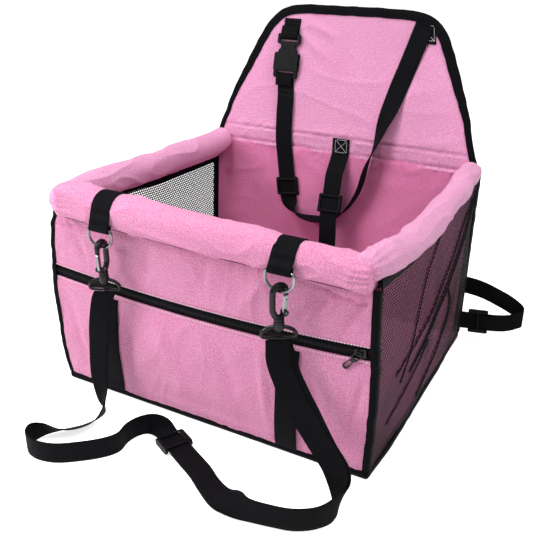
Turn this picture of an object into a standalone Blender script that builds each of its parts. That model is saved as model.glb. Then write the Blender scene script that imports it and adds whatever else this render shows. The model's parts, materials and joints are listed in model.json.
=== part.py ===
"""Folding dog car seat: a padded fabric box with mesh sides, a back flap and its webbing.

Metres, +Z up. The front faces -Y. The origin is the centre of the base's underside.
"""
import math

import bmesh
import bpy
from mathutils import Matrix, Vector

# Box
BOX_WIDTH = 0.400
BOX_DEPTH = 0.340
WALL_HEIGHT = 0.213
CLEAR = 0.0003
PANEL_THICK = 0.002
LINING_THICK = 0.0015
BASE_THICK = 0.003
BOARD_THICK = 0.004
BIND_THICK = 0.0016
BIND_FACE = 0.009
BASE_BIND_HEIGHT = 0.010
REAR_BIND_DROP = 0.004

# Mesh side panels
NET_THICK = 0.0012
SIDE_BAND_HEIGHT = 0.013
NET_HEM = 0.008
NET_STRAND = 0.0026
NET_COLUMNS = 11
NET_ROWS = 7
BAND_REACH = 0.011

# Padded rim and the tubes in it
FRONT_ROLL_RADIUS = 0.019
FRONT_ROLL_OVERHANG = 0.003
SIDE_ROLL_RADIUS = 0.016
SIDE_ROLL_INSET = 0.013
SIDE_ROLL_TUCK = 0.0055
RIGHT_ROLL_BOW = 0.0035
RIGHT_ROLL_SAG = 0.0035
LEFT_ROLL_BOW = 0.001
LEFT_ROLL_SAG = 0.0015
RIM_TUBE_RADIUS = 0.006
RIM_TUBE_BORE = 0.0044
RIM_TUBE_INSET = 0.010
ELBOW_WALL = 0.0017
ELBOW_BEND = 0.020
ELBOW_SOCKET = 0.012
RIM_TUBE_REAR_GAP = 0.026

# Back panel and flap
PAD_THICK = 0.004
SEAM_DEPTH = 0.0008
SEAM_HALF = 0.0015
SEAM_BELOW_FOLD = 0.021
FOLD_HEIGHT = 0.254
FOLD_TAPER = 0.012
FOLD_THICK = 0.0004
FOLD_GAP = 0.00045
BACK_LEAN = math.radians(3.31)
FLAP_LEAN = math.radians(14.04)
FLAP_FOOT_INSET = 0.011
FLAP_TOP_INSET = 0.0865
FLAP_HEIGHT = 0.169
FLAP_CORNER = 0.038
FLAP_BIND_FACE = 0.0105
FLAP_BIND_THICK = 0.0014
FLAP_BIND_START = 0.014

# Zip
ZIP_END_HEIGHT = 0.1475
ZIP_SAG = 0.0085
ZIP_OPENING = 0.015
ZIP_TAPE_THICK = 0.0008
ZIP_TAPE_HEM = 0.004
ZIP_TEETH_WIDTH = 0.005
ZIP_TEETH_THICK = 0.0022
ZIP_SLIDER_INSET = 0.016
ZIP_SLIDER_LENGTH = 0.012
ZIP_SLIDER_WIDTH = 0.0095
ZIP_POST_LENGTH = 0.0035
ZIP_POST_WIDTH = 0.0026
ZIP_PLATE_THICK = 0.0015
ZIP_FLANGE = 0.0009
BRIDGE_HALF = 0.0026
BRIDGE_WIRE = 0.0007
BRIDGE_RISE = 0.0046
PULL_THICK = 0.0012
PULL_LENGTH = 0.025
PULL_HEAD_HALF = 0.0039
PULL_TAIL_HALF = 0.0034
PULL_NECK_HALF = 0.0022
PULL_RIM = 0.0010
PULL_BAR = 0.0012
PULL_SLOT_HALF = 0.0016
PULL_HANG = math.radians(51.0)

# Webbing
STRAP_WIDTH = 0.025
STRAP_THICK = 0.0014
DOUBLE_STRAP_THICK = 0.0032
BAND_WIDTH = 0.0255
LEFT_BAND_X = -0.1225
RIGHT_BAND_X = 0.108
BAND_TOP = 0.130
LOOP_X = 0.108
LOOP_TAIL = math.radians(-35.0)
LOOP_RETURN = 0.004

# Rings and swivel hooks
RING_WIRE = 0.0017
RING_HALF = 0.0155
RING_DROP = 0.0203
RING_BOW = 0.0125
RING_CORNER = 0.0035
RING_BAR_RISE = 0.011
RING_STAND_OFF = 0.0021
BASE_WIRE = 0.002
BASE_HALF = 0.017
BASE_SHOULDER = 0.003
BASE_ARCH = 0.0125
BOSS_RADIUS = 0.0055
BOSS_BOTTOM = 0.0105
BOSS_TOP = 0.0163
PIN_RADIUS = 0.0021
PIN_HEAD_RADIUS = 0.0038
PIN_HEAD_THICK = 0.0022
COLLAR_RADIUS = 0.0052
COLLAR_WAIST = 0.0042
COLLAR_HEIGHT = 0.0062
HOOK_SPINE = 0.0032
HOOK_CROWN = 0.0037
HOOK_TIP = 0.0026
HOOK_HALF = 0.0075
HOOK_TOP = 0.0555
HOOK_NOSE = 0.0445
GATE_FOOT = 0.026
GATE_HALF = 0.0021
GATE_THICK = 0.0030
GATE_HOLE = 0.0009
GATE_PIN = 0.0009
EAR_RADIUS = 0.0031
EAR_THICK = 0.0068
LEFT_HOOK_TURN = math.radians(-85.0)
RIGHT_HOOK_TURN = math.radians(60.0)
TETHER_HOOK_TURN = math.radians(20.0)
LEFT_BASE_TURN = math.radians(22.0)
RIGHT_BASE_TURN = math.radians(31.0)

# Side-release buckle, heights from the female's lower edge
BUCKLE_X = -0.0895
BUCKLE_FOOT = 0.070
BUCKLE_HALF = 0.018
BUCKLE_THICK = 0.009
BUCKLE_LIFT = 0.0005
BUCKLE_EDGE = 0.0015
FEMALE_LENGTH = 0.034
FEMALE_SLOT_END = 0.0105
BUCKLE_BAR = 0.0035
CAVITY_HALF = 0.0145
CAVITY_HEIGHT = 0.0046
MALE_THICK = 0.004
SLOT_HALF = 0.0133
SHOULDER_LENGTH = 0.0040
NECK_LENGTH = 0.0075
NECK_HALF = 0.011
MALE_HALF = 0.017
MALE_FRAME_LENGTH = 0.0135
MALE_ROOT_LENGTH = 0.0036
GUIDE_HALF = 0.0025
GUIDE_LENGTH = 0.017
PRONG_ROOT = 0.002
PRONG_ROOT_X = 0.0092
PRONG_PIVOT = 0.0322
PRONG_ARM_HALF = 0.0015
PRONG_HEAD_START = 0.0185
PRONG_HEAD_END = 0.0285
WINDOW_PLAY = 0.0012

# Three-bar sliders
GLIDE_LENGTH = 0.026
GLIDE_BAR = 0.0013
GLIDE_RAIL = 0.003
GLIDE_PLAY = 0.0008

# Straps on the flap and wall
STUB_TOP = 0.1505
STRAP_TAIL = 0.014
HEADREST_OFF = 0.0041
TETHER_HOOK_HEIGHT = 0.081
TETHER_X = 0.009
TETHER_STAND = 0.0325
FLOOR_EDGE = 0.0128
FLOOR_FLAT = 0.0050

CLOTH = ((0.78, 0.25, 0.48), 0.85, 0.0)
CLOTH_DARK = ((0.45, 0.08, 0.22), 0.85, 0.0)
NETTING = ((0.03, 0.03, 0.032), 0.8, 0.0)
WEBBING = ((0.010, 0.010, 0.011), 0.7, 0.0)
RESIN = ((0.012, 0.012, 0.014), 0.35, 0.0)
BOARD = ((0.10, 0.10, 0.11), 0.6, 0.0)
PIPE = ((0.75, 0.75, 0.72), 0.4, 0.0)
STEEL = ((0.06, 0.06, 0.065), 0.3, 0.9)

ROLL_END_SHARE = 0.4
ZIP_NOSE_SHARE = 0.7
PULL_NECK_SHARE = 0.42
PULL_HEAD_SHARE = 0.75
PULL_HOLE_SHARE = 0.7
LOOP_CUT_SHARE = 0.3
HOOK_ARM_SHARE = 0.9
HOOK_BEND_SHARE = 0.6
PRONG_SHOULDER_SHARE = 1.6
RAIL_ROUND_SHARE = 0.9

WELD = 1e-6
OVERRUN = 0.002
ROUND_SIDES = 20
CORNER_STEPS = 6

FRONT = -BOX_DEPTH / 2
SIDE = BOX_WIDTH / 2
SHELL_Y = FRONT + BIND_THICK + CLEAR
SHELL_X = SIDE - BIND_THICK - CLEAR
FLOOR_TOP = BASE_THICK + CLEAR
NET_INNER = SHELL_X - NET_THICK
NET_FRONT = SHELL_Y + PANEL_THICK + CLEAR
ROLL_Z = WALL_HEIGHT + FRONT_ROLL_RADIUS
NET_HEIGHT = WALL_HEIGHT - SIDE_BAND_HEIGHT
FLAP_FOOT_HALF = SIDE - FLAP_FOOT_INSET
FLAP_TOP_HALF = SIDE - FLAP_TOP_INSET
ZIP_SLIDER_X = SIDE - ZIP_SLIDER_INSET
RING_BAR_HEIGHT = WALL_HEIGHT + RING_BAR_RISE
ROLL_X = SIDE - SIDE_ROLL_INSET
TETHER_Y = -FRONT - TETHER_STAND
TAPE_Y = SHELL_Y + PANEL_THICK + CLEAR + ZIP_TAPE_THICK / 2
SLIDER_INNER = ZIP_TEETH_THICK / 2 + CLEAR
LINING_FRONT = TAPE_Y + SLIDER_INNER + ZIP_PLATE_THICK + CLEAR
LINING_BACK = LINING_FRONT + LINING_THICK
BACK_OUTER = PAD_THICK / 2
BACK_FOOT_Y = -SHELL_Y - BACK_OUTER / math.cos(BACK_LEAN) - BASE_BIND_HEIGHT * math.tan(BACK_LEAN)
FOLD_Y = BACK_FOOT_Y + FOLD_HEIGHT * math.tan(BACK_LEAN)
BACK_LENGTH = FOLD_HEIGHT / math.cos(BACK_LEAN)
LOOP_RADIUS = FRONT_ROLL_RADIUS + CLEAR + STRAP_THICK / 2
BIGHT_RADIUS = RING_WIRE + CLEAR + STRAP_THICK / 2
RING_Y = SHELL_Y - FRONT_ROLL_RADIUS - 2 * CLEAR - STRAP_THICK - RING_WIRE - RING_STAND_OFF + PANEL_THICK
RING_BOTTOM = RING_BAR_HEIGHT - RING_DROP
BAR_HEIGHT = RING_BOTTOM + RING_WIRE + CLEAR - (HOOK_TOP - HOOK_CROWN)
ZIP_RADIUS = (SIDE ** 2 + ZIP_SAG ** 2) / (2 * ZIP_SAG)
ZIP_CENTRE_Z = ZIP_END_HEIGHT - ZIP_SAG + ZIP_RADIUS
BUCKLE_Y = -(PAD_THICK / 2 + BUCKLE_LIFT + BUCKLE_THICK / 2)

STAND = Matrix.Rotation(math.pi / 2, 4, "X")
LIE_ALONG_X = Matrix.Rotation(math.pi / 2, 4, "Y")
UPRIGHT = Matrix(((0, 0, 1, 0), (1, 0, 0, 0), (0, 1, 0, 0), (0, 0, 0, 1)))


def clear_scene():
    """Remove whatever the opened file holds."""
    for obj in list(bpy.data.objects):
        bpy.data.objects.remove(obj, do_unlink=True)


def new_collection(name):
    collection = bpy.data.collections.new(name)
    bpy.context.scene.collection.children.link(collection)
    return collection


clear_scene()
PARTS = new_collection("dog_car_seat")
CUTTERS = new_collection("cutters")


def material(name, look):
    """Plain Principled material with the piece's colour, roughness and metallic value."""
    colour, roughness, metallic = look
    mat = bpy.data.materials.new(name)
    mat.use_nodes = True
    shader = mat.node_tree.nodes["Principled BSDF"]
    shader.inputs["Base Color"].default_value = (*colour, 1.0)
    shader.inputs["Roughness"].default_value = roughness
    shader.inputs["Metallic"].default_value = metallic
    return mat


def frame(name, location, turn, parent=None):
    """Empty that carries the pieces of one leaning or swinging part."""
    empty = bpy.data.objects.new(name, None)
    empty.location = location
    empty.rotation_euler = turn
    empty.parent = parent
    PARTS.objects.link(empty)
    return empty


def part(name, mesh, look, parent=None, location=(0.0, 0.0, 0.0)):
    """Named piece with its own material."""
    obj = bpy.data.objects.new(name, mesh)
    mesh.materials.clear()
    mesh.materials.append(material(name, look))
    mesh.shade_smooth()
    mesh.set_sharp_from_angle(angle=math.radians(35.0))
    obj.parent = parent
    obj.location = location
    PARTS.objects.link(obj)
    return obj


def cutter(mesh, parent=None, location=(0.0, 0.0, 0.0)):
    obj = bpy.data.objects.new("cutter", mesh)
    obj.parent = parent
    obj.location = location
    obj.hide_render = True
    obj.display_type = "WIRE"
    CUTTERS.objects.link(obj)
    return obj


def combine(obj, operation, *others):
    """Boolean modifiers, one for each other object."""
    for other in others:
        mod = obj.modifiers.new(operation.lower(), "BOOLEAN")
        mod.operation = operation
        mod.solver = "EXACT"
        mod.object = other


def closed_mesh(obj, turn=None):
    """Evaluated mesh of a loose object, welded and turned; the object itself is removed."""
    bpy.context.scene.collection.objects.link(obj)
    bpy.context.view_layer.update()
    depsgraph = bpy.context.evaluated_depsgraph_get()
    mesh = bpy.data.meshes.new_from_object(obj.evaluated_get(depsgraph))
    bm = bmesh.new()
    bm.from_mesh(mesh)
    bmesh.ops.remove_doubles(bm, verts=bm.verts[:], dist=WELD)
    bmesh.ops.recalc_face_normals(bm, faces=bm.faces[:])
    if turn is not None:
        bm.transform(turn)
    bm.to_mesh(mesh)
    bm.free()
    bpy.data.objects.remove(obj, do_unlink=True)
    return mesh


def plate(rings, thick, turn=None):
    """Flat outline with holes, its thickness centred on the outline's plane."""
    data = bpy.data.curves.new("outline", "CURVE")
    data.dimensions = "2D"
    data.fill_mode = "BOTH"
    data.extrude = thick / 2
    for ring in rings:
        spline = data.splines.new("POLY")
        spline.points.add(len(ring) - 1)
        for point, (u, v) in zip(spline.points, ring):
            point.co = (u, v, 0.0, 1.0)
        spline.use_cyclic_u = True
    return closed_mesh(bpy.data.objects.new("outline", data), turn)


def tube(points, radius, shares=None, sides=12, cyclic=False, turn=None):
    """Round bar or wire along points; shares scale its radius point by point."""
    data = bpy.data.curves.new("path", "CURVE")
    data.dimensions = "3D"
    data.bevel_depth = radius
    data.bevel_resolution = sides // 2 - 2
    data.use_fill_caps = not cyclic
    spline = data.splines.new("POLY")
    spline.points.add(len(points) - 1)
    for index, (point, place) in enumerate(zip(spline.points, points)):
        point.co = (*place, 1.0)
        point.radius = shares[index] if shares else 1.0
    spline.use_cyclic_u = cyclic
    return closed_mesh(bpy.data.objects.new("path", data), turn)


def turned(profile, sides=24, turn=None):
    """Solid of revolution about Z; the profile of (radius, height) runs from top to bottom."""
    mesh = bpy.data.meshes.new("profile")
    edges = [(i, i + 1) for i in range(len(profile) - 1)]
    mesh.from_pydata([(r, 0.0, z) for r, z in profile], edges, [])
    obj = bpy.data.objects.new("profile", mesh)
    mod = obj.modifiers.new("turn", "SCREW")
    mod.steps = sides
    mod.render_steps = sides
    mod.use_merge_vertices = True
    mod.merge_threshold = WELD
    return closed_mesh(obj, turn)


def block(low, high, turn=None):
    """Box between two corners."""
    bm = bmesh.new()
    bmesh.ops.create_cube(bm, size=1.0)
    size = [b - a for a, b in zip(low, high)]
    centre = [(a + b) / 2 for a, b in zip(low, high)]
    bm.transform(Matrix.Translation(centre) @ Matrix.Diagonal((*size, 1.0)))
    if turn is not None:
        bm.transform(turn)
    mesh = bpy.data.meshes.new("block")
    bm.to_mesh(mesh)
    bm.free()
    return mesh


def ribbon(rows, thick=STRAP_THICK):
    """Webbing along rows of (centre, half width vector)."""
    count = len(rows)
    bm = bmesh.new()
    bmesh.ops.create_grid(bm, x_segments=1, y_segments=count - 1, size=1.0)
    for vert in bm.verts:
        index = round((vert.co.y + 1.0) / 2.0 * (count - 1))
        centre, half = rows[index]
        vert.co = centre + half if vert.co.x > 0 else centre - half
    mesh = bpy.data.meshes.new("ribbon")
    bm.to_mesh(mesh)
    bm.free()
    obj = bpy.data.objects.new("ribbon", mesh)
    mod = obj.modifiers.new("thickness", "SOLIDIFY")
    mod.thickness = thick
    mod.offset = 0.0
    return closed_mesh(obj)


def arc(centre, radius, start, end, steps=CORNER_STEPS):
    """Points (u, v) on a circle, from one angle to the other."""
    turn = (end - start) / steps
    return [(centre[0] + radius * math.cos(start + turn * i),
             centre[1] + radius * math.sin(start + turn * i)) for i in range(steps + 1)]


def rounded(corners, radius, steps=CORNER_STEPS):
    """Outline through the corners, each rounded to the same radius."""
    points = []
    for i, corner in enumerate(corners):
        here = Vector(corner)
        before = (Vector(corners[i - 1]) - here).normalized()
        after = (Vector(corners[(i + 1) % len(corners)]) - here).normalized()
        half = before.angle(after) / 2
        centre = here + (before + after).normalized() * (radius / math.sin(half))
        start = here + before * (radius / math.tan(half)) - centre
        end = here + after * (radius / math.tan(half)) - centre
        first = math.atan2(start.y, start.x)
        sweep = math.atan2(end.y, end.x) - first
        sweep = (sweep + math.pi) % (2 * math.pi) - math.pi
        points += arc(centre, radius, first, first + sweep, steps)
    return points


def rectangle(half, low, high):
    return [(-half, low), (half, low), (half, high), (-half, high)]


def smooth(points, steps=4):
    """Catmull-Rom curve through points of any dimension."""
    ends = [points[0]] + list(points) + [points[-1]]
    result = []
    for i in range(len(points) - 1):
        a, b, c, d = (Vector(p) for p in ends[i:i + 4])
        for k in range(steps):
            t = k / steps
            result.append(0.5 * (2 * b + (c - a) * t + (2 * a - 5 * b + 4 * c - d) * t * t
                                 + (3 * b - a - 3 * c + d) * t * t * t))
    result.append(Vector(points[-1]))
    return result


def strap_rows(route, width=STRAP_WIDTH, steps=4):
    """Rows of a strap from a route of (place, width direction)."""
    places = smooth([place for place, _ in route], steps)
    across = smooth([Vector(direction) for _, direction in route], steps)
    return [(place, way.normalized() * width / 2) for place, way in zip(places, across)]


def wall_y(z):
    """Middle of the back panel at a height."""
    return BACK_FOOT_Y + z * math.tan(BACK_LEAN)


BACK = frame("back_frame", (0.0, BACK_FOOT_Y, 0.0), (-BACK_LEAN, 0.0, 0.0))
FLAP = frame("flap_frame", (0.0, FOLD_Y, FOLD_HEIGHT), (-FLAP_LEAN, 0.0, 0.0))


def make_base():
    """Base cloth, its stiffening board and the binding round it."""
    part("base_panel", block((-SHELL_X, SHELL_Y, 0.0), (SHELL_X, -SHELL_Y, BASE_THICK)), CLOTH)
    half = NET_INNER - CLEAR
    rear = wall_y(FLOOR_TOP) - BACK_OUTER / math.cos(BACK_LEAN) - CLEAR
    board = block((-half, LINING_BACK + CLEAR, FLOOR_TOP), (half, rear, FLOOR_TOP + BOARD_THICK))
    part("base_board", board, BOARD)
    outer = rectangle(SIDE, FRONT, -FRONT)
    inner = rectangle(SIDE - BIND_THICK, FRONT + BIND_THICK, -FRONT - BIND_THICK)
    part("binding_base", plate([outer, inner], BASE_BIND_HEIGHT), WEBBING,
         location=(0.0, 0.0, BASE_BIND_HEIGHT / 2))


def zip_arc(offset, half, steps=24):
    """Points on the zip's arc, above it by an offset, from left to right."""
    radius = ZIP_RADIUS - offset
    span = math.asin(half / radius)
    middle = -math.pi / 2
    return arc((0.0, ZIP_CENTRE_Z), radius, middle - span, middle + span, steps)


def zip_strip(low, high, half, thick):
    """Strip that follows the zip's arc between two offsets."""
    return plate([zip_arc(low, half) + zip_arc(high, half)[::-1]], thick, STAND)


def make_front():
    """Front panel over the zip, pocket panel under it, and the lining behind the pocket."""
    gap = ZIP_OPENING / 2
    top = WALL_HEIGHT - CLEAR
    panel_y = SHELL_Y + PANEL_THICK / 2
    upper = zip_arc(gap, SHELL_X) + [(SHELL_X, top), (-SHELL_X, top)]
    part("front_panel", plate([upper], PANEL_THICK, STAND), CLOTH, location=(0.0, panel_y, 0.0))
    lower = zip_arc(-gap, SHELL_X) + [(SHELL_X, FLOOR_TOP), (-SHELL_X, FLOOR_TOP)]
    part("pocket_panel", plate([lower], PANEL_THICK, STAND), CLOTH, location=(0.0, panel_y, 0.0))
    half = NET_INNER - CLEAR
    lining = block((-half, LINING_FRONT, FLOOR_TOP), (half, LINING_BACK, WALL_HEIGHT))
    part("front_lining", lining, CLOTH_DARK)


def make_zip():
    """Tapes, closed teeth, slider with its bridge, and the pull tab."""
    half = NET_INNER - CLEAR
    reach = ZIP_OPENING / 2 + ZIP_TAPE_HEM
    near = ZIP_TEETH_WIDTH / 2 + CLEAR
    place = (0.0, TAPE_Y, 0.0)
    part("zipper_tape_upper", zip_strip(near, reach, half, ZIP_TAPE_THICK), WEBBING, location=place)
    part("zipper_tape_lower", zip_strip(-reach, -near, half, ZIP_TAPE_THICK), WEBBING, location=place)
    teeth_end = ZIP_SLIDER_X + ZIP_SLIDER_LENGTH / 2 - ZIP_POST_LENGTH - CLEAR
    teeth = part("zipper_teeth", zip_strip(-ZIP_TEETH_WIDTH / 2, ZIP_TEETH_WIDTH / 2, half, ZIP_TEETH_THICK),
                 RESIN, location=place)
    combine(teeth, "DIFFERENCE", cutter(block((teeth_end, TAPE_Y - SLIDER_INNER, 0.0),
                                              (SIDE, TAPE_Y + SLIDER_INNER, WALL_HEIGHT))))

    angle = math.asin(ZIP_SLIDER_X / ZIP_RADIUS)
    height = ZIP_CENTRE_Z - ZIP_RADIUS * math.cos(angle)
    rest = frame("zip_frame", (ZIP_SLIDER_X, TAPE_Y, height), (0.0, -angle, 0.0))
    outer = SLIDER_INNER + ZIP_PLATE_THICK
    tip = ZIP_SLIDER_LENGTH / 2
    wide = ZIP_SLIDER_WIDTH / 2
    nose = wide * ZIP_NOSE_SHARE
    outline = rounded([(-tip, -nose), (tip, -wide), (tip, wide), (-tip, nose)], ZIP_FLANGE)
    body = part("zip_slider", plate([outline], 2 * outer, STAND), STEEL, rest)
    inside = block((-tip - OVERRUN, -SLIDER_INNER, -wide + ZIP_FLANGE),
                   (tip - ZIP_POST_LENGTH, SLIDER_INNER, wide - ZIP_FLANGE))
    tape_gap = ZIP_TAPE_THICK / 2 + CLEAR
    slot_high = block((-tip - OVERRUN, -tape_gap, ZIP_POST_WIDTH / 2),
                      (tip + OVERRUN, tape_gap, wide + OVERRUN))
    slot_low = block((-tip - OVERRUN, -tape_gap, -wide - OVERRUN),
                     (tip + OVERRUN, tape_gap, -ZIP_POST_WIDTH / 2))
    combine(body, "DIFFERENCE", cutter(inside, rest), cutter(slot_high, rest), cutter(slot_low, rest))
    rise = BRIDGE_RISE - BRIDGE_WIRE
    sunk = ZIP_PLATE_THICK / 2
    arch = [(-BRIDGE_HALF, -outer + sunk)] + arc((-BRIDGE_HALF + BRIDGE_WIRE, -outer - rise + BRIDGE_WIRE),
                                                BRIDGE_WIRE, math.pi, math.pi * 1.5, 3)
    arch += arc((BRIDGE_HALF - BRIDGE_WIRE, -outer - rise + BRIDGE_WIRE),
                BRIDGE_WIRE, math.pi * 1.5, math.pi * 2, 3) + [(BRIDGE_HALF, -outer + sunk)]
    bridge = tube([(x, y, 0.0) for x, y in arch], BRIDGE_WIRE, sides=8)
    combine(body, "UNION", cutter(bridge, rest))

    pull_y = -outer - BRIDGE_RISE + 2 * BRIDGE_WIRE + CLEAR + PULL_THICK / 2
    slope = PULL_HANG - angle
    hang = frame("pull_frame", (0.0, pull_y, 0.0), (0.0, -slope, 0.0), rest)
    head = -PULL_BAR / 2
    foot = head + PULL_LENGTH
    neck = PULL_LENGTH * PULL_NECK_SHARE
    outline = [(-head, -PULL_HEAD_HALF + PULL_RIM), (-head, PULL_HEAD_HALF - PULL_RIM)]
    outline += [(-head - PULL_RIM, PULL_HEAD_HALF), (-neck * PULL_HEAD_SHARE, PULL_HEAD_HALF),
                (-neck, PULL_NECK_HALF)]
    outline += arc((-foot + PULL_TAIL_HALF, 0.0), PULL_TAIL_HALF, math.pi / 2, math.pi * 1.5, 8)
    outline += [(-neck, -PULL_NECK_HALF), (-neck * PULL_HEAD_SHARE, -PULL_HEAD_HALF),
                (-head - PULL_RIM, -PULL_HEAD_HALF)]
    hole_half = PULL_HEAD_HALF - PULL_RIM
    hole = [(head, -hole_half), (-neck * PULL_HOLE_SHARE, -hole_half),
            (-neck * PULL_HOLE_SHARE, hole_half), (head, hole_half)]
    eye = arc((-foot + PULL_TAIL_HALF, 0.0), PULL_SLOT_HALF, math.pi / 2, math.pi * 1.5, 5)
    eye += arc((-neck - PULL_TAIL_HALF, 0.0), PULL_SLOT_HALF, -math.pi / 2, math.pi / 2, 5)
    part("zip_pull", plate([outline, hole, eye], PULL_THICK, STAND), STEEL, hang)


def net_panel(side):
    """Mesh side wall: a hemmed grid whose rear edge leans with the back panel."""
    low = FLOOR_TOP
    rear_gap = BACK_OUTER / math.cos(BACK_LEAN) + CLEAR
    cell_height = (NET_HEIGHT - low - 2 * NET_HEM) / NET_ROWS

    def place(column, z):
        length = wall_y(z) - rear_gap - NET_FRONT - 2 * NET_HEM
        return NET_FRONT + NET_HEM + length * column / NET_COLUMNS

    rings = [[(NET_FRONT, low), (wall_y(low) - rear_gap, low),
              (wall_y(NET_HEIGHT) - rear_gap, NET_HEIGHT), (NET_FRONT, NET_HEIGHT)]]
    strand = NET_STRAND / 2
    for row in range(NET_ROWS):
        foot = low + NET_HEM + cell_height * row + strand
        head = foot + cell_height - NET_STRAND
        for column in range(NET_COLUMNS):
            rings.append([(place(column, foot) + strand, foot), (place(column + 1, foot) - strand, foot),
                          (place(column + 1, head) - strand, head), (place(column, head) + strand, head)])
    mesh = plate(rings, NET_THICK, UPRIGHT)
    mesh.transform(Matrix.Translation((side * (NET_INNER + NET_THICK / 2), 0.0, 0.0)))
    return mesh


def back_block(depth_low, depth_high, half, low, high):
    """Box in the back panel's own frame."""
    return cutter(block((-half, depth_low, low), (half, depth_high, high)), BACK)


def side_roll_path(side, bow, sag):
    """Side roll's middle line from inside the front roll to behind the back panel."""
    steps = 20
    start = SHELL_Y
    end = wall_y(ROLL_Z)
    path = []
    for i in range(steps + 1):
        share = i / steps
        belly = math.sin(math.pi * share)
        late = min(1.0, max(0.0, 5 * share - 3.75))
        tuck = SIDE_ROLL_TUCK * late * late * (3 - 2 * late)
        x = side * (ROLL_X + bow * belly - tuck)
        path.append((x, start + (end - start) * share, ROLL_Z - sag * belly))
    return path


def front_roll(extra=0.0):
    """Front roll, turned about its own length, with rounded ends."""
    half = SIDE + FRONT_ROLL_OVERHANG + extra
    radius = FRONT_ROLL_RADIUS + extra
    fillet = radius * ROLL_END_SHARE
    end = arc((radius - fillet, half - fillet), fillet, math.pi / 2, 0.0, 4)
    profile = [(0.0, half)] + end + [(r, -z) for r, z in end[::-1]] + [(0.0, -half)]
    return turned(profile, ROUND_SIDES, LIE_ALONG_X)


def elbow_path(side, reach):
    """Middle line of a rim elbow, its straight ends as long as reach."""
    turn_x = SIDE - RIM_TUBE_INSET - ELBOW_BEND
    turn_y = SHELL_Y + ELBOW_BEND
    bend = arc((turn_x, turn_y), ELBOW_BEND, -math.pi / 2, 0.0, 6)
    bend = [(turn_x - reach, SHELL_Y)] + bend + [(turn_x + ELBOW_BEND, turn_y + reach)]
    return [(side * x, y, ROLL_Z) for x, y in bend]


def make_rim():
    """Padded rolls and the tube frame in them."""
    tube_x = SIDE - RIM_TUBE_INSET
    corner_x = tube_x - ELBOW_BEND
    corner_y = SHELL_Y + ELBOW_BEND
    rear_y = wall_y(ROLL_Z) - RIM_TUBE_REAR_GAP
    elbow_outer = RIM_TUBE_RADIUS + CLEAR + ELBOW_WALL
    socket = RIM_TUBE_RADIUS + CLEAR
    front = part("front_rim_roll", front_roll(), CLOTH, location=(0.0, SHELL_Y, ROLL_Z))
    fat_front = cutter(front_roll(CLEAR), location=(0.0, SHELL_Y, ROLL_Z))
    bore = [(-corner_x, SHELL_Y, ROLL_Z), (corner_x, SHELL_Y, ROLL_Z)]
    front_bore = cutter(tube(bore, socket))
    wide = SIDE + OVERRUN
    behind = back_block(-BACK_OUTER - CLEAR, SIDE, wide, 0.0, BACK_LENGTH + SIDE)
    elbow_cuts = {}
    for side, name, bow, sag in ((-1, "left", LEFT_ROLL_BOW, LEFT_ROLL_SAG),
                                 (1, "right", RIGHT_ROLL_BOW, RIGHT_ROLL_SAG)):
        path = side_roll_path(side, bow, sag)
        roll = part(f"{name}_rim_roll", tube(path, SIDE_ROLL_RADIUS, sides=ROUND_SIDES), CLOTH)
        fat_roll = cutter(tube(path, SIDE_ROLL_RADIUS + CLEAR, sides=ROUND_SIDES))
        elbow_cuts[side] = cutter(tube(elbow_path(side, ELBOW_SOCKET + CLEAR), elbow_outer + CLEAR))
        side_bore = cutter(tube([(side * tube_x, corner_y, ROLL_Z), (side * tube_x, rear_y + CLEAR, ROLL_Z)],
                                socket))
        combine(roll, "DIFFERENCE", fat_front, behind, elbow_cuts[side], side_bore)
        pipe = part(f"rim_tube_{name}", tube([(side * tube_x, corner_y + CLEAR, ROLL_Z),
                                              (side * tube_x, rear_y, ROLL_Z)], RIM_TUBE_RADIUS), PIPE)
        combine(pipe, "DIFFERENCE", cutter(tube([(side * tube_x, corner_y - OVERRUN, ROLL_Z),
                                                 (side * tube_x, rear_y + OVERRUN, ROLL_Z)], RIM_TUBE_BORE)))

        band = block((NET_INNER, NET_FRONT, NET_HEIGHT + CLEAR),
                     (SHELL_X, -FRONT + SIDE, WALL_HEIGHT + BAND_REACH))
        band.transform(Matrix.Diagonal((side, 1.0, 1.0, 1.0)))
        if side < 0:
            band.flip_normals()
        band = part(f"{name}_side_band", band, WEBBING)
        combine(band, "DIFFERENCE", fat_roll, fat_front, behind)
    combine(front, "DIFFERENCE", front_bore, elbow_cuts[-1], elbow_cuts[1])
    ends = [(-corner_x + CLEAR, SHELL_Y, ROLL_Z), (corner_x - CLEAR, SHELL_Y, ROLL_Z)]
    pipe = part("rim_tube_front", tube(ends, RIM_TUBE_RADIUS), PIPE)
    through = [(-corner_x - OVERRUN, SHELL_Y, ROLL_Z), (corner_x + OVERRUN, SHELL_Y, ROLL_Z)]
    combine(pipe, "DIFFERENCE", cutter(tube(through, RIM_TUBE_BORE)))
    for side, name in ((-1, "left"), (1, "right")):
        elbow = part(f"rim_elbow_{name}", tube(elbow_path(side, ELBOW_SOCKET), elbow_outer), PIPE)
        path = elbow_path(side, ELBOW_SOCKET + OVERRUN)
        combine(elbow, "DIFFERENCE", cutter(tube(path, RIM_TUBE_BORE)),
                cutter(tube([path[0], path[1]], socket)), cutter(tube([path[-2], path[-1]], socket)))


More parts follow.
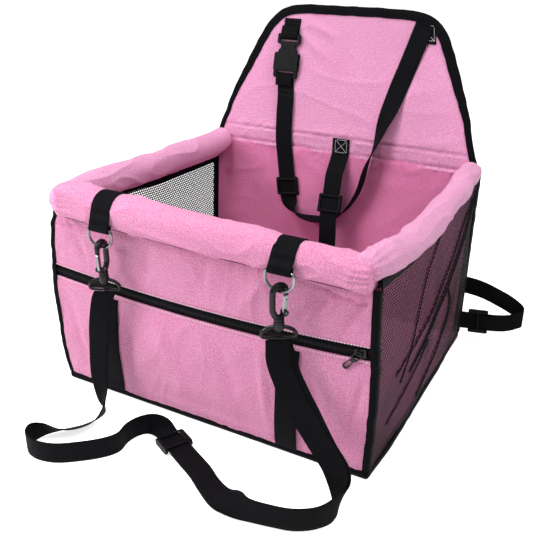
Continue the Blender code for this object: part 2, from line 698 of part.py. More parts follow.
def make_sides():
    """Mesh panels and the corner bindings."""
    outline = [(SIDE - BIND_FACE, FRONT), (SIDE, FRONT), (SIDE, FRONT + BIND_FACE),
               (SIDE - BIND_THICK, FRONT + BIND_FACE), (SIDE - BIND_THICK, FRONT + BIND_THICK),
               (SIDE - BIND_FACE, FRONT + BIND_THICK)]
    low = BASE_BIND_HEIGHT + CLEAR
    height = WALL_HEIGHT - CLEAR - low
    rear = BACK_OUTER + CLEAR + BIND_THICK
    rear_outline = [(SIDE - BIND_FACE, rear), (SIDE, rear), (SIDE, rear - BIND_FACE),
                    (SIDE - BIND_THICK, rear - BIND_FACE), (SIDE - BIND_THICK, rear - BIND_THICK),
                    (SIDE - BIND_FACE, rear - BIND_THICK)]
    rear_low = low + 2 * CLEAR
    rear_height = BACK_LENGTH - REAR_BIND_DROP - rear_low
    for side, name in ((-1, "left"), (1, "right")):
        part(f"{name}_mesh_panel", net_panel(side), NETTING)
        ring = [(side * x, y) for x, y in outline]
        part(f"binding_front_{name}", plate([ring], height), WEBBING, location=(0.0, 0.0, low + height / 2))
        ring = [(side * x, y) for x, y in rear_outline]
        part(f"binding_rear_{name}", plate([ring], rear_height), WEBBING, BACK,
             (0.0, 0.0, rear_low + rear_height / 2))


def make_back():
    """Back panel with its sewn seam, thinned to the fold along its top."""
    thin = FOLD_THICK / 2
    seam = BACK_LENGTH - SEAM_BELOW_FOLD
    top = BACK_LENGTH - FOLD_GAP
    right = [(BACK_OUTER, FLOOR_TOP + CLEAR), (BACK_OUTER, seam - SEAM_HALF), (BACK_OUTER - SEAM_DEPTH, seam),
             (BACK_OUTER, seam + SEAM_HALF), (BACK_OUTER, top - FOLD_TAPER), (thin, top)]
    outline = right + [(-y, z) for y, z in right[::-1]]
    part("back_panel", plate([outline], 2 * SHELL_X, UPRIGHT), CLOTH, BACK)


def flap_outline(offset=0.0):
    """Flap's outline, grown outward by an offset: a trapezoid with round top corners."""
    lean = math.atan2(FLAP_FOOT_HALF - FLAP_TOP_HALF, FLAP_HEIGHT)
    shift = offset / math.cos(lean)
    top = FLAP_HEIGHT + offset
    slope = math.tan(lean)
    foot = FLAP_FOOT_HALF + shift
    head = foot - slope * top
    radius = FLAP_CORNER + offset
    corner = rounded([(foot, 0.0), (head, top), (0.0, top)], radius, 7)[8:16]
    right = [(foot, 0.0)] + corner
    return right + [(-x, z) for x, z in right[::-1]]


def make_flap():
    """Flap and the binding folded over its edge."""
    thin = FOLD_THICK / 2
    half_thick = PAD_THICK / 2
    flap = part("flap_panel", plate([flap_outline()], PAD_THICK, STAND), CLOTH, FLAP)
    high = FLAP_HEIGHT + OVERRUN
    side = [(thin, FOLD_GAP), (half_thick + CLEAR, FOLD_GAP + FOLD_TAPER), (half_thick + CLEAR, high)]
    profile = side + [(-y, z) for y, z in side[::-1]]
    combine(flap, "INTERSECT", cutter(plate([profile], BOX_WIDTH, UPRIGHT), FLAP))
    outer = CLEAR + FLAP_BIND_THICK
    binding = part("flap_binding", plate([flap_outline(outer)], PAD_THICK + 2 * outer, STAND), WEBBING, FLAP)
    hollow = cutter(plate([flap_outline(CLEAR)], PAD_THICK + 2 * CLEAR, STAND), FLAP)
    face = cutter(plate([flap_outline(outer - FLAP_BIND_FACE)], PAD_THICK + 4 * outer, STAND), FLAP)
    foot = cutter(block((-SIDE, -PAD_THICK * 2, -PAD_THICK), (SIDE, PAD_THICK * 2, FLAP_BIND_START)), FLAP)
    combine(binding, "DIFFERENCE", hollow, face, foot)


def make_bands():
    """Loops round the front roll that hold the rings, and the bands sewn on the pocket."""
    across = Vector((BAND_WIDTH / 2, 0.0, 0.0))
    gap_y = RING_Y - SHELL_Y
    gap_z = RING_BAR_HEIGHT - ROLL_Z
    apart = math.hypot(gap_y, gap_z)
    leave = math.atan2(gap_z, gap_y) % (2 * math.pi) - math.acos((LOOP_RADIUS - BIGHT_RADIUS) / apart)
    over = arc((SHELL_Y, ROLL_Z), LOOP_RADIUS, LOOP_TAIL, leave, 18)
    bight = arc((RING_Y, RING_BAR_HEIGHT), BIGHT_RADIUS, leave, 2 * math.pi, 10)
    tail = [(bight[-1][0], bight[-1][1] + LOOP_RETURN)]
    for side, name in ((-1, "left"), (1, "right")):
        rows = [(Vector((side * LOOP_X, y, z)), across) for y, z in over + bight + tail]
        part(f"ring_loop_{name}", ribbon(rows), WEBBING)
    low = BASE_BIND_HEIGHT + CLEAR
    near = SHELL_Y - CLEAR
    for x, name in ((LEFT_BAND_X, "left"), (RIGHT_BAND_X, "right")):
        part(f"pocket_band_{name}", block((x - BAND_WIDTH / 2, near - STRAP_THICK, low),
                                          (x + BAND_WIDTH / 2, near, BAND_TOP)), WEBBING)


def ring_path():
    """D ring: a straight bar on top, its sides rounded into a bow."""
    top = rounded([(-RING_HALF, RING_BOW - RING_DROP), (-RING_HALF, 0.0), (RING_HALF, 0.0),
                   (RING_HALF, RING_BOW - RING_DROP)], RING_CORNER, 4)[5:15]
    steps = 12
    low = [(RING_HALF * math.cos(math.pi * i / steps),
            RING_BOW - RING_DROP - RING_BOW * math.sin(math.pi * i / steps))
           for i in range(steps + 1)]
    return [(x, 0.0, z) for x, z in top + low]


def base_path():
    """Hook's strap base: a bar under a round-shouldered arch."""
    steps = 12
    arch = [(BASE_HALF * math.cos(math.pi * i / steps),
             BASE_SHOULDER + (BASE_ARCH - BASE_SHOULDER) * math.sin(math.pi * i / steps))
            for i in range(steps + 1)]
    corner = BASE_SHOULDER
    low = [(-BASE_HALF + corner * LOOP_CUT_SHARE, corner * LOOP_CUT_SHARE), (-BASE_HALF + corner, 0.0)]
    low += [(BASE_HALF - corner, 0.0), (BASE_HALF - corner * LOOP_CUT_SHARE, corner * LOOP_CUT_SHARE)]
    return [(x, 0.0, z) for x, z in arch + low]


def hook_set(name, swing, base_turn, hook_turn, prefix=""):
    """Swivel hook below or above its strap base: base, hook with its pin and collar, sprung gate."""
    base_frame = frame(f"{name}_base_frame", (0.0, 0.0, 0.0), (0.0, 0.0, base_turn), swing)
    base_wire = tube(base_path(), BASE_WIRE, sides=10, cyclic=True)
    base = part(f"{prefix}hook_base{name}", base_wire, STEEL, base_frame)
    boss = turned([(0.0, BOSS_TOP), (BOSS_RADIUS, BOSS_TOP), (BOSS_RADIUS, BOSS_BOTTOM),
                   (0.0, BOSS_BOTTOM)], 16)
    combine(base, "UNION", cutter(boss, base_frame))
    hole = PIN_RADIUS + CLEAR
    bore = turned([(0.0, BOSS_TOP + OVERRUN), (hole, BOSS_TOP + OVERRUN), (hole, BASE_WIRE + CLEAR),
                   (0.0, BASE_WIRE + CLEAR)], 12)
    combine(base, "DIFFERENCE", cutter(bore, base_frame))

    hook_frame = frame(f"{name}_hook_frame", (0.0, 0.0, 0.0), (0.0, 0.0, hook_turn), swing)
    foot = BOSS_TOP + CLEAR
    collar_top = foot + COLLAR_HEIGHT
    ring = COLLAR_HEIGHT / 4
    head_top = BOSS_BOTTOM - CLEAR
    profile = [(0.0, collar_top), (COLLAR_WAIST, collar_top), (COLLAR_WAIST, collar_top - ring),
               (COLLAR_RADIUS, collar_top - ring), (COLLAR_RADIUS, collar_top - 2 * ring),
               (COLLAR_WAIST, collar_top - 2 * ring), (COLLAR_WAIST, foot + ring),
               (COLLAR_RADIUS, foot + ring), (COLLAR_RADIUS, foot), (PIN_RADIUS, foot),
               (PIN_RADIUS, head_top), (PIN_HEAD_RADIUS, head_top),
               (PIN_HEAD_RADIUS, head_top - PIN_HEAD_THICK), (0.0, head_top - PIN_HEAD_THICK)]
    hook = part(f"{prefix}hook{name}", turned(profile, 16), STEEL, hook_frame)
    shoulder = GATE_FOOT + EAR_RADIUS
    crown_z = HOOK_TOP - HOOK_HALF
    path = [(0.0, collar_top - ring), (-HOOK_HALF * HOOK_BEND_SHARE, collar_top + ring),
            (-HOOK_HALF, shoulder + ring),
            (-HOOK_HALF, crown_z)]
    shares = [1.0, 1.0, 1.0, 1.0]
    crown = arc((0.0, crown_z), HOOK_HALF, math.pi, 0.0, 10)[1:]
    path += crown + [(HOOK_HALF, HOOK_NOSE)]
    peak = HOOK_CROWN / HOOK_SPINE
    end = HOOK_TIP / HOOK_SPINE
    shares += [1.0 + (peak - 1.0) * min(1.0, (i + 1) / 4) for i in range(len(crown) - 2)]
    shares += [(peak + end) / 2, end, end]
    shares = shares[:len(path)]
    bow = tube([(x, 0.0, z) for x, z in path], HOOK_SPINE, shares, sides=10)
    pivot = (HOOK_HALF - HOOK_TIP / 2, GATE_FOOT)
    ear = tube([(pivot[0], -EAR_THICK / 2, pivot[1]), (pivot[0], EAR_THICK / 2, pivot[1])],
               EAR_RADIUS, sides=12)
    arm = tube([(0.0, 0.0, collar_top - ring), (pivot[0], 0.0, pivot[1] - ring)],
               EAR_RADIUS * HOOK_ARM_SHARE, sides=10)
    combine(hook, "UNION", cutter(bow, hook_frame), cutter(arm, hook_frame), cutter(ear, hook_frame))
    slot_half = GATE_THICK / 2 + CLEAR
    reach = GATE_HALF + CLEAR
    slot = block((pivot[0] - EAR_RADIUS - OVERRUN, -slot_half, pivot[1] - reach),
                 (pivot[0] + EAR_RADIUS + OVERRUN, slot_half, pivot[1] + EAR_RADIUS + OVERRUN))
    pin_hole = GATE_PIN + CLEAR
    cross = EAR_THICK / 2 + OVERRUN
    hinge = tube([(pivot[0], -cross, pivot[1]), (pivot[0], cross, pivot[1])], pin_hole, sides=10)
    combine(hook, "DIFFERENCE", cutter(slot, hook_frame), cutter(hinge, hook_frame))

    gate_frame = frame(f"{name}_gate_frame", (pivot[0], 0.0, pivot[1]), (0.0, 0.0, 0.0), hook_frame)
    top = HOOK_NOSE - CLEAR - pivot[1]
    outline = arc((0.0, 0.0), GATE_HALF, math.pi, 2 * math.pi, 8)
    outline += arc((HOOK_TIP / 2, top - GATE_HALF), GATE_HALF, 0.0, math.pi, 8)
    hole = arc((HOOK_TIP / 2, top - 2 * GATE_HALF), GATE_HOLE, 0.0, 2 * math.pi, 8)[:-1]
    gate = part(f"{prefix}hook_gate{name}", plate([outline, hole], GATE_THICK, STAND), STEEL, gate_frame)
    half_pin = EAR_THICK / 2
    pin = tube([(0.0, -half_pin, 0.0), (0.0, half_pin, 0.0)], GATE_PIN, sides=10)
    combine(gate, "UNION", cutter(pin, gate_frame))


def make_clips():
    """Rings on the front and the three swivel hooks."""
    for side, name, base_turn, hook_turn in ((-1, "_left", LEFT_BASE_TURN, LEFT_HOOK_TURN),
                                             (1, "_right", RIGHT_BASE_TURN, RIGHT_HOOK_TURN)):
        ring_frame = frame(f"ring_frame{name}", (side * LOOP_X, RING_Y, RING_BAR_HEIGHT), (0.0, 0.0, 0.0))
        part(f"ring{name}", tube(ring_path(), RING_WIRE, sides=10, cyclic=True), STEEL, ring_frame)
        swing = frame(f"clip_frame{name}", (0.0, 0.0, BAR_HEIGHT - RING_BAR_HEIGHT),
                      (0.0, 0.0, 0.0), ring_frame)
        hook_set(name, swing, base_turn, hook_turn)
    hanging = frame("tether_frame", (TETHER_X, TETHER_Y, TETHER_HOOK_HEIGHT), (0.0, math.pi, 0.0))
    hook_set("", hanging, 0.0, TETHER_HOOK_TURN, "tether_")


def make_buckle():
    """Side-release buckle: slotted female body, male frame with its guide, two sprung prongs."""
    place = frame("buckle_frame", (BUCKLE_X, BUCKLE_Y, BUCKLE_FOOT), (0.0, 0.0, 0.0), FLAP)
    edge = BUCKLE_EDGE
    body = rounded(rectangle(BUCKLE_HALF, 0.0, FEMALE_LENGTH), edge * 2, 4)
    slot = rectangle(SLOT_HALF, BUCKLE_BAR, FEMALE_SLOT_END - edge)
    female = part("buckle_female", plate([body, slot], BUCKLE_THICK, STAND), RESIN, place)
    half_thick = BUCKLE_THICK / 2
    bar_half = MALE_THICK / 2
    for side in (-1, 1):
        low, high = sorted((side * bar_half, side * (half_thick + OVERRUN)))
        relief = block((-SIDE, low, -OVERRUN), (SIDE, high, FEMALE_SLOT_END))
        combine(female, "DIFFERENCE", cutter(relief, place))
    cavity_half = CAVITY_HEIGHT / 2
    cavity = block((-CAVITY_HALF, -cavity_half, FEMALE_SLOT_END + edge),
                   (CAVITY_HALF, cavity_half, FEMALE_LENGTH + OVERRUN))
    window_half = cavity_half + CLEAR
    window = block((-BUCKLE_HALF - OVERRUN, -window_half, PRONG_HEAD_START - WINDOW_PLAY),
                   (BUCKLE_HALF + OVERRUN, window_half, PRONG_HEAD_END + WINDOW_PLAY))
    combine(female, "DIFFERENCE", cutter(cavity, place), cutter(window, place))

    shoulder = PRONG_PIVOT - MALE_ROOT_LENGTH / 2
    root_half = CAVITY_HALF - CLEAR
    mouth = FEMALE_LENGTH + CLEAR
    neck = mouth + SHOULDER_LENGTH
    frame_low = neck + NECK_LENGTH
    frame_high = frame_low + MALE_FRAME_LENGTH
    seat = PRONG_ROOT + CLEAR
    socket = [(PRONG_ROOT_X - seat, shoulder)] + arc((PRONG_ROOT_X, PRONG_PIVOT), seat, math.pi, 0.0, 8)
    socket.append((PRONG_ROOT_X + seat, shoulder))
    right = [(GUIDE_HALF, shoulder - GUIDE_LENGTH + edge), (GUIDE_HALF, shoulder)] + socket
    right += [(root_half, shoulder),
             (root_half, neck - edge), (root_half - edge, neck), (NECK_HALF, neck + edge),
             (NECK_HALF, frame_low - edge),
             (MALE_HALF - edge, frame_low), (MALE_HALF, frame_low + edge), (MALE_HALF, frame_high - edge),
             (MALE_HALF - edge, frame_high)]
    outline = [(GUIDE_HALF - edge / 2, shoulder - GUIDE_LENGTH)] + right
    outline = outline + [(-u, v) for u, v in outline[::-1]]
    male_slot = rectangle(SLOT_HALF, frame_low + BUCKLE_BAR, frame_high - BUCKLE_BAR)
    part("buckle_male", plate([outline, male_slot], MALE_THICK, STAND), RESIN, place)
    for side, name in ((-1, "left"), (1, "right")):
        pivot = frame(f"prong_frame_{name}", (side * PRONG_ROOT_X, 0.0, PRONG_PIVOT), (0.0, 0.0, 0.0), place)
        arm = PRONG_ARM_HALF
        reach = BUCKLE_HALF - PRONG_ROOT_X
        head_low = PRONG_HEAD_START - PRONG_PIVOT
        head_high = PRONG_HEAD_END - PRONG_PIVOT
        root = arc((0.0, 0.0), PRONG_ROOT, math.radians(-40.0), math.radians(220.0), 8)
        head = [(-arm, head_high), (-arm / 2, head_low + edge), (arm / 2, head_low), (reach / 2, head_low),
                (reach - edge / 2, head_low + 2 * edge), (reach, head_high - 2 * edge),
                (reach - edge, head_high),
                (arm * PRONG_SHOULDER_SHARE, head_high + edge / 2)]
        ring = [(side * u, v) for u, v in root + head]
        part(f"buckle_prong_{name}", plate([ring], MALE_THICK, STAND), RESIN, pivot)
    return frame_high


def glide(name, parent, strap=STRAP_THICK):
    """Three-bar slider: end bars before the strap, middle bar behind it, a rail on each side."""
    run = strap / 2 + CLEAR + GLIDE_BAR
    inner = STRAP_WIDTH / 2 + GLIDE_PLAY
    middle = inner + GLIDE_RAIL / 2
    half = GLIDE_LENGTH / 2
    thick = run + GLIDE_BAR / 2
    outline = rounded([(-thick, -half), (thick, -half), (thick, half), (-thick, half)],
                      thick * RAIL_ROUND_SHARE, 3)
    body = None
    for side in (-1, 1):
        rail = plate([outline], GLIDE_RAIL, UPRIGHT)
        rail.transform(Matrix.Translation((side * middle, 0.0, 0.0)))
        if body is None:
            body = part(name, rail, RESIN, parent)
        else:
            combine(body, "UNION", cutter(rail, parent))
    for y, z in ((-run, GLIDE_BAR * 2 - half), (-run, half - GLIDE_BAR * 2), (run, 0.0)):
        bar = tube([(-middle, y, z), (middle, y, z)], GLIDE_BAR, sides=8)
        combine(body, "UNION", cutter(bar, parent))


def glide_frame(name, place, ahead, across):
    """Frame of a slider: X across the strap, Z along it, -Y to its outer face."""
    z = Vector(ahead).normalized()
    x = Vector(across)
    x = (x - z * x.dot(z)).normalized()
    y = z.cross(x)
    turn = Matrix((x, y, z)).transposed().to_euler()
    return frame(name, place, turn)


def make_flap_straps(buckle_top):
    """Stub strap over the buckle, looped through its male frame."""
    face = -PAD_THICK / 2
    lay = face - CLEAR - STRAP_THICK / 2
    bar_s = BUCKLE_FOOT + buckle_top - BUCKLE_BAR
    run = MALE_THICK / 2 + CLEAR + STRAP_THICK / 2
    behind = BUCKLE_Y + run
    bend = arc((BUCKLE_Y, bar_s - CLEAR), run, 0.0, -math.pi, 8)
    route = [(lay, STUB_TOP), (lay, bar_s + STRAP_TAIL), (behind, bar_s + BUCKLE_BAR)] + bend
    route += [(BUCKLE_Y - run, bar_s + BUCKLE_BAR), (BUCKLE_Y - run / 2, bar_s + STRAP_TAIL)]
    across = Vector((STRAP_WIDTH / 2, 0.0, 0.0))
    rows = [(Vector((BUCKLE_X, y, s)), across) for y, s in route]
    part("stub_strap", ribbon(rows), WEBBING, FLAP)


def flap_point(x, off, s):
    """World place of a point on the flap: across, in front of its face, along it."""
    depth = -(PAD_THICK / 2 + off)
    return Vector((x, FOLD_Y + s * math.sin(FLAP_LEAN) + depth * math.cos(FLAP_LEAN),
                   FOLD_HEIGHT + s * math.cos(FLAP_LEAN) - depth * math.sin(FLAP_LEAN)))


def flap_way(x, s):
    """World direction in the flap's plane: across and along it."""
    return Vector((x, s * math.sin(FLAP_LEAN), s * math.cos(FLAP_LEAN)))


def wall_point(x, off, z):
    """World place of a point before the back panel's face."""
    return Vector((x, wall_y(z) - PAD_THICK / 2 - off, z))


SEWN = CLEAR + STRAP_THICK / 2


def make_headrest_strap():
    """Strap from the buckle down the wall, through its slider, and up to the flap's right."""
    bar = BUCKLE_FOOT + BUCKLE_BAR
    middle = BUCKLE_THICK / 2 + BUCKLE_LIFT
    run = MALE_THICK / 2 + CLEAR + STRAP_THICK / 2
    x_way = (1.0, 0.0, 0.0)
    loop = [(middle + run / 2, bar - STRAP_TAIL), (middle + run, bar - BUCKLE_BAR)]
    loop += [(middle - u, v) for u, v in arc((0.0, bar + CLEAR), run, math.pi, 0.0, 6)]
    loop += [(middle - run, bar - BUCKLE_BAR)]
    head = [(flap_point(BUCKLE_X, off, s), x_way) for off, s in loop]
    route = [
        (flap_point(-0.085, HEADREST_OFF, 0.045), (1.0, 0.0, -0.05)),
        (flap_point(-0.083, HEADREST_OFF, 0.014), (1.0, 0.0, 0.04)),
        (wall_point(-0.081, HEADREST_OFF, 0.240), (1.0, 0.0, 0.08)),
        (wall_point(-0.0775, HEADREST_OFF, 0.215), (1.0, 0.0, 0.15)),
        (wall_point(-0.0745, HEADREST_OFF, 0.195), (1.0, 0.0, 0.15)),
        (wall_point(-0.0715, HEADREST_OFF, 0.175), (1.0, 0.0, 0.15)),
        (wall_point(-0.0685, HEADREST_OFF, 0.155), (1.0, 0.0, 0.15)),
        (wall_point(-0.0620, 0.0085, 0.1440), (0.8, -0.60, 0.35)),
        (wall_point(-0.048, 0.0133, 0.1385), (0.4, -1.0, 0.25)),
        (wall_point(-0.025, 0.0134, 0.1370), (0.05, -1.0, 0.0)),
        (wall_point(-0.002, 0.0134, 0.1405), (0.0, -1.0, 0.0)),
        (wall_point(0.021, 0.0136, 0.154), (0.0, -1.0, 0.0)),
        (wall_point(0.041, 0.0142, 0.186), (0.0, -1.0, 0.0)),
        (wall_point(0.050, 0.0146, 0.223), (0.10, -1.0, 0.0)),
        (wall_point(0.058, 0.0120, 0.250), (0.35, -0.9, -0.1)),
        (flap_point(0.064, 0.0095, 0.022), (0.75, -0.65, -0.22)),
        (flap_point(0.0705, 0.0052, 0.047), (0.92, -0.27, -0.28)),
        (flap_point(0.077, 0.0020, 0.074), flap_way(0.95, -0.28)),
        (flap_point(0.087, SEWN, 0.110), flap_way(0.95, -0.28)),
        (flap_point(0.0965, SEWN, 0.146), flap_way(0.95, -0.28)),
    ]
    start = [(place, Vector(way).normalized() * STRAP_WIDTH / 2) for place, way in head]
    rows = start + strap_rows(route, steps=3)
    part("headrest_strap", ribbon(rows), WEBBING)
    high, place, low = route[4][0], route[5][0], route[6][0]
    glide("headrest_slider", glide_frame("headrest_slider_frame", place, high - low, route[5][1]))


def make_tether():
    """Tether sewn near the fold, through its slider, round the hanging hook's base."""
    run = BASE_WIRE + CLEAR + STRAP_THICK / 2
    across = (1.0, 0.0, 0.0)
    low = TETHER_HOOK_HEIGHT
    route = [
        (wall_point(0.006, SEWN, 0.2525), across),
        (wall_point(0.006, SEWN, 0.241), across),
        (wall_point(0.006, 0.0018, 0.231), across),
        (wall_point(0.0055, 0.0062, 0.221), across),
        (Vector((0.0045, TETHER_Y + 0.0235, 0.206)), across),
        (Vector((0.0051, TETHER_Y + 0.0178, 0.191)), across),
        (Vector((0.0057, TETHER_Y + 0.0121, 0.176)), across),
        (Vector((0.0063, TETHER_Y + 0.0064, 0.161)), across),
        (Vector((0.0070, TETHER_Y + 0.0018, 0.146)), across),
        ((TETHER_X, TETHER_Y - run / 2, 0.128), across),
        ((TETHER_X, TETHER_Y - run, 0.100), across),
        ((TETHER_X, TETHER_Y - run, low + run), across),
    ]
    rows = strap_rows(route, steps=4)
    half = Vector((STRAP_WIDTH / 2, 0.0, 0.0))
    bend = arc((TETHER_Y, low), run, -math.pi, 0.0, 8)
    tail = [(TETHER_Y + run, low + 2 * run), (TETHER_Y, low + STRAP_TAIL)]
    rows += [(Vector((TETHER_X, y, z)), half) for y, z in bend + tail]
    part("tether_strap", ribbon(rows), WEBBING)
    high, under = route[5][0], route[7][0]
    place = (route[6][0] + under) / 2
    glide("tether_slider", glide_frame("tether_slider_frame", place, high - under, across))


def make_shoulder_straps():
    """Free strap from the left hook round to the slider, and its doubled stretch to the right hook."""
    left_way = Vector((math.cos(LEFT_BASE_TURN), math.sin(LEFT_BASE_TURN), 0.0))
    right_way = Vector((math.cos(RIGHT_BASE_TURN), math.sin(RIGHT_BASE_TURN), 0.0))
    drop = BAR_HEIGHT - BASE_WIRE - 2 * CLEAR
    up = (0.0, 0.0, 1.0)
    along = Vector((0.887, -0.462, 0.0))
    flat = Vector((0.462, 0.887, 0.0))
    route = [
        ((-LOOP_X, RING_Y, drop), left_way),
        ((-0.1125, -0.1925, 0.140), left_way),
        ((-0.1195, -0.1940, 0.108), (1.0, 0.2, 0.0)),
        ((-0.1210, -0.1965, 0.080), (1.0, 0.1, 0.0)),
        ((-0.1200, -0.2010, 0.050), (0.9, 0.1, 0.35)),
        ((-0.1130, -0.2065, 0.027), (0.6, 0.2, 0.8)),
        ((-0.1040, -0.2150, 0.0145), (0.1, 0.1, 1.0)),
        ((-0.1030, -0.2290, FLOOR_EDGE), up),
        ((-0.1100, -0.2480, FLOOR_EDGE), up),
        ((-0.1220, -0.2640, FLOOR_EDGE), up),
        ((-0.1370, -0.2760, FLOOR_EDGE), up),
        ((-0.1440, -0.2900, FLOOR_EDGE), up),
        ((-0.1370, -0.3030, FLOOR_EDGE), up),
        ((-0.1190, -0.3080, FLOOR_EDGE), up),
        ((-0.0980, -0.3030, FLOOR_EDGE), up),
        ((-0.0790, -0.2900, FLOOR_EDGE), up),
        ((-0.0600, -0.2720, FLOOR_EDGE), up),
        ((-0.0510, -0.2560, FLOOR_EDGE), up),
        ((-0.0530, -0.2390, FLOOR_EDGE), up),
        ((-0.0500, -0.2240, FLOOR_EDGE), (0.05, 0.1, 1.0)),
        ((-0.0420, -0.2125, 0.0122), (0.15, 0.30, 0.9)),
        ((-0.0325, -0.2070, 0.0085), (0.38, 0.72, 0.55)),
        ((-0.0225, -0.2092, FLOOR_FLAT), flat),
        (Vector((-0.0055, -0.2180, FLOOR_FLAT)), flat),
        (Vector((-0.0055, -0.2180, FLOOR_FLAT)) + along * STRAP_TAIL, flat),
    ]
    part("shoulder_strap_left", ribbon(strap_rows(route, steps=3)), WEBBING)
    start = Vector(route[-1][0]) + along * CLEAR
    glide_place = Vector(route[-2][0])
    place = glide_frame("shoulder_slider_frame", glide_place, along, -flat)
    glide("shoulder_slider", place, DOUBLE_STRAP_THICK)
    route = [
        (start, flat),
        (start + along * 0.022, flat),
        (start + along * 0.044, flat),
        (start + along * 0.066, flat),
        ((0.0870, -0.2650, 0.0070), (0.42, 0.85, 0.25)),
        ((0.1050, -0.2710, 0.0120), (0.30, 0.6, 0.70)),
        ((0.1240, -0.2765, 0.0140), (0.02, 0.10, 1.0)),
        ((0.1450, -0.2750, FLOOR_EDGE), up),
        ((0.1670, -0.2690, FLOOR_EDGE), up),
        ((0.1850, -0.2560, FLOOR_EDGE), up),
        ((0.1950, -0.2390, 0.0145), (-0.05, 0.0, 1.0)),
        ((0.1945, -0.2240, 0.0230), (0.25, 0.1, 0.95)),
        ((0.1830, -0.2160, 0.0420), (0.7, 0.2, 0.7)),
        ((0.1660, -0.2110, 0.0600), (0.8, 0.25, 0.45)),
        ((0.1460, -0.2045, 0.0820), (0.85, 0.35, 0.30)),
        ((0.1270, -0.1990, 0.1050), (0.85, 0.42, 0.12)),
        ((0.1140, -0.1945, 0.1280), right_way),
        ((LOOP_X, RING_Y, drop), right_way),
    ]
    part("shoulder_strap_right", ribbon(strap_rows(route, steps=3), DOUBLE_STRAP_THICK), WEBBING)


def make_rear_strap():
    """Seat strap behind the box: out of the right rear corner, round a bend, back to the left corner."""
    up = (0.0, 0.0, 1.0)
    half = STRAP_WIDTH / 2
    start = (SIDE - 0.0140, wall_y(0.025 + half) + BACK_OUTER + 2 * CLEAR + STRAP_THICK / 2, 0.0250)
    bound = BACK_OUTER + BIND_THICK + 3 * CLEAR
    end = (0.0075 - SIDE, wall_y(0.050 + half) + bound + STRAP_THICK, 0.0500)
    rear = -FRONT
    route = [(start, up), ((SIDE, rear + 0.0048, 0.0251), up),
             ((SIDE + 0.0200, rear + 0.00755, 0.02635), up), ((SIDE + 0.0400, rear + 0.0103, 0.0276), up),
             ((SIDE + 0.0570, rear + 0.0132, 0.0305), up), ((SIDE + 0.0700, rear + 0.0170, 0.0360), up),
             ((SIDE + 0.0750, rear + 0.0225, 0.0390), up), ((SIDE + 0.0680, rear + 0.0285, 0.0420), up),
             ((SIDE + 0.0420, rear + 0.0335, 0.0460), up), ((SIDE - 0.0050, rear + 0.0385, 0.0500), up),
             ((SIDE / 2, rear + 0.0435, 0.0500), up), ((0.0000, rear + 0.0440, 0.0500), up),
             ((-SIDE / 2, rear + 0.0395, 0.0500), up), ((0.0400 - SIDE, rear + 0.0250, 0.0500), up),
             (end, up)]
    part("rear_strap", ribbon(strap_rows(route, steps=4)), WEBBING)
    near, far = Vector(route[1][0]), Vector(route[3][0])
    glide("rear_strap_slider", glide_frame("rear_slider_frame", (near + far) / 2, far - near, up))


def main():
    make_base()
    make_front()
    make_zip()
    make_rim()
    make_sides()
    make_back()
    make_flap()
    make_bands()
    make_clips()
    buckle_top = make_buckle()
    make_flap_straps(buckle_top)
    make_headrest_strap()
    make_tether()
    make_shoulder_straps()
    make_rear_strap()


main()
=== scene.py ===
"""Looks of a folding dog car seat: fabric box, mesh sides, padded rim, back flap and webbing.

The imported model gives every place. Sizes are metres, +Z is up and the front faces -Y.
"""
import json
import math

import bpy
from mathutils import Matrix, Vector, noise


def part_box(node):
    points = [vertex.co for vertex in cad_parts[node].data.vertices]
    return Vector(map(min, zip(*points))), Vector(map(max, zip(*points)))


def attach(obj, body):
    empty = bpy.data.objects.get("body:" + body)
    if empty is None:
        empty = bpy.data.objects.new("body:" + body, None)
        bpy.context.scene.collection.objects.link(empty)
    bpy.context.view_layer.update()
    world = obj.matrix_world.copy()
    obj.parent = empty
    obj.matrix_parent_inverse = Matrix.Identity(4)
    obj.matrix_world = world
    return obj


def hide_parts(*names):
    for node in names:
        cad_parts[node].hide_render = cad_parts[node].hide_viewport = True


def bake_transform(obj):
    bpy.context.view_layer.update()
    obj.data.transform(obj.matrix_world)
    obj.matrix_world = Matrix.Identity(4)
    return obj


bl_info = {
    "name": "Dog car seat",
    "version": (1, 0, 0),
    "blender": (4, 5, 0),
    "location": "View3D > Sidebar > Dog Seat",
    "description": "Makes the cloth, mesh, webbing and stitching of a folding dog car seat",
    "category": "Add Mesh",
}

noise.seed_set(1)  # the offsets of noise_vector otherwise follow the clock
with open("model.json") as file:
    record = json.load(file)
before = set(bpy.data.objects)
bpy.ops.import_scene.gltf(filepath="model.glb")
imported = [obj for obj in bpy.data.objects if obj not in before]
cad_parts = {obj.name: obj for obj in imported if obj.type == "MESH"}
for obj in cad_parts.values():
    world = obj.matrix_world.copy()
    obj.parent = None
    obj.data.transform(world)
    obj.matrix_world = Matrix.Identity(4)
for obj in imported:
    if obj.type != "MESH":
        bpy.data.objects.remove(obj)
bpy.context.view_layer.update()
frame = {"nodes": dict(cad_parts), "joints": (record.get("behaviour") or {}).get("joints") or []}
NODES = frame["nodes"]

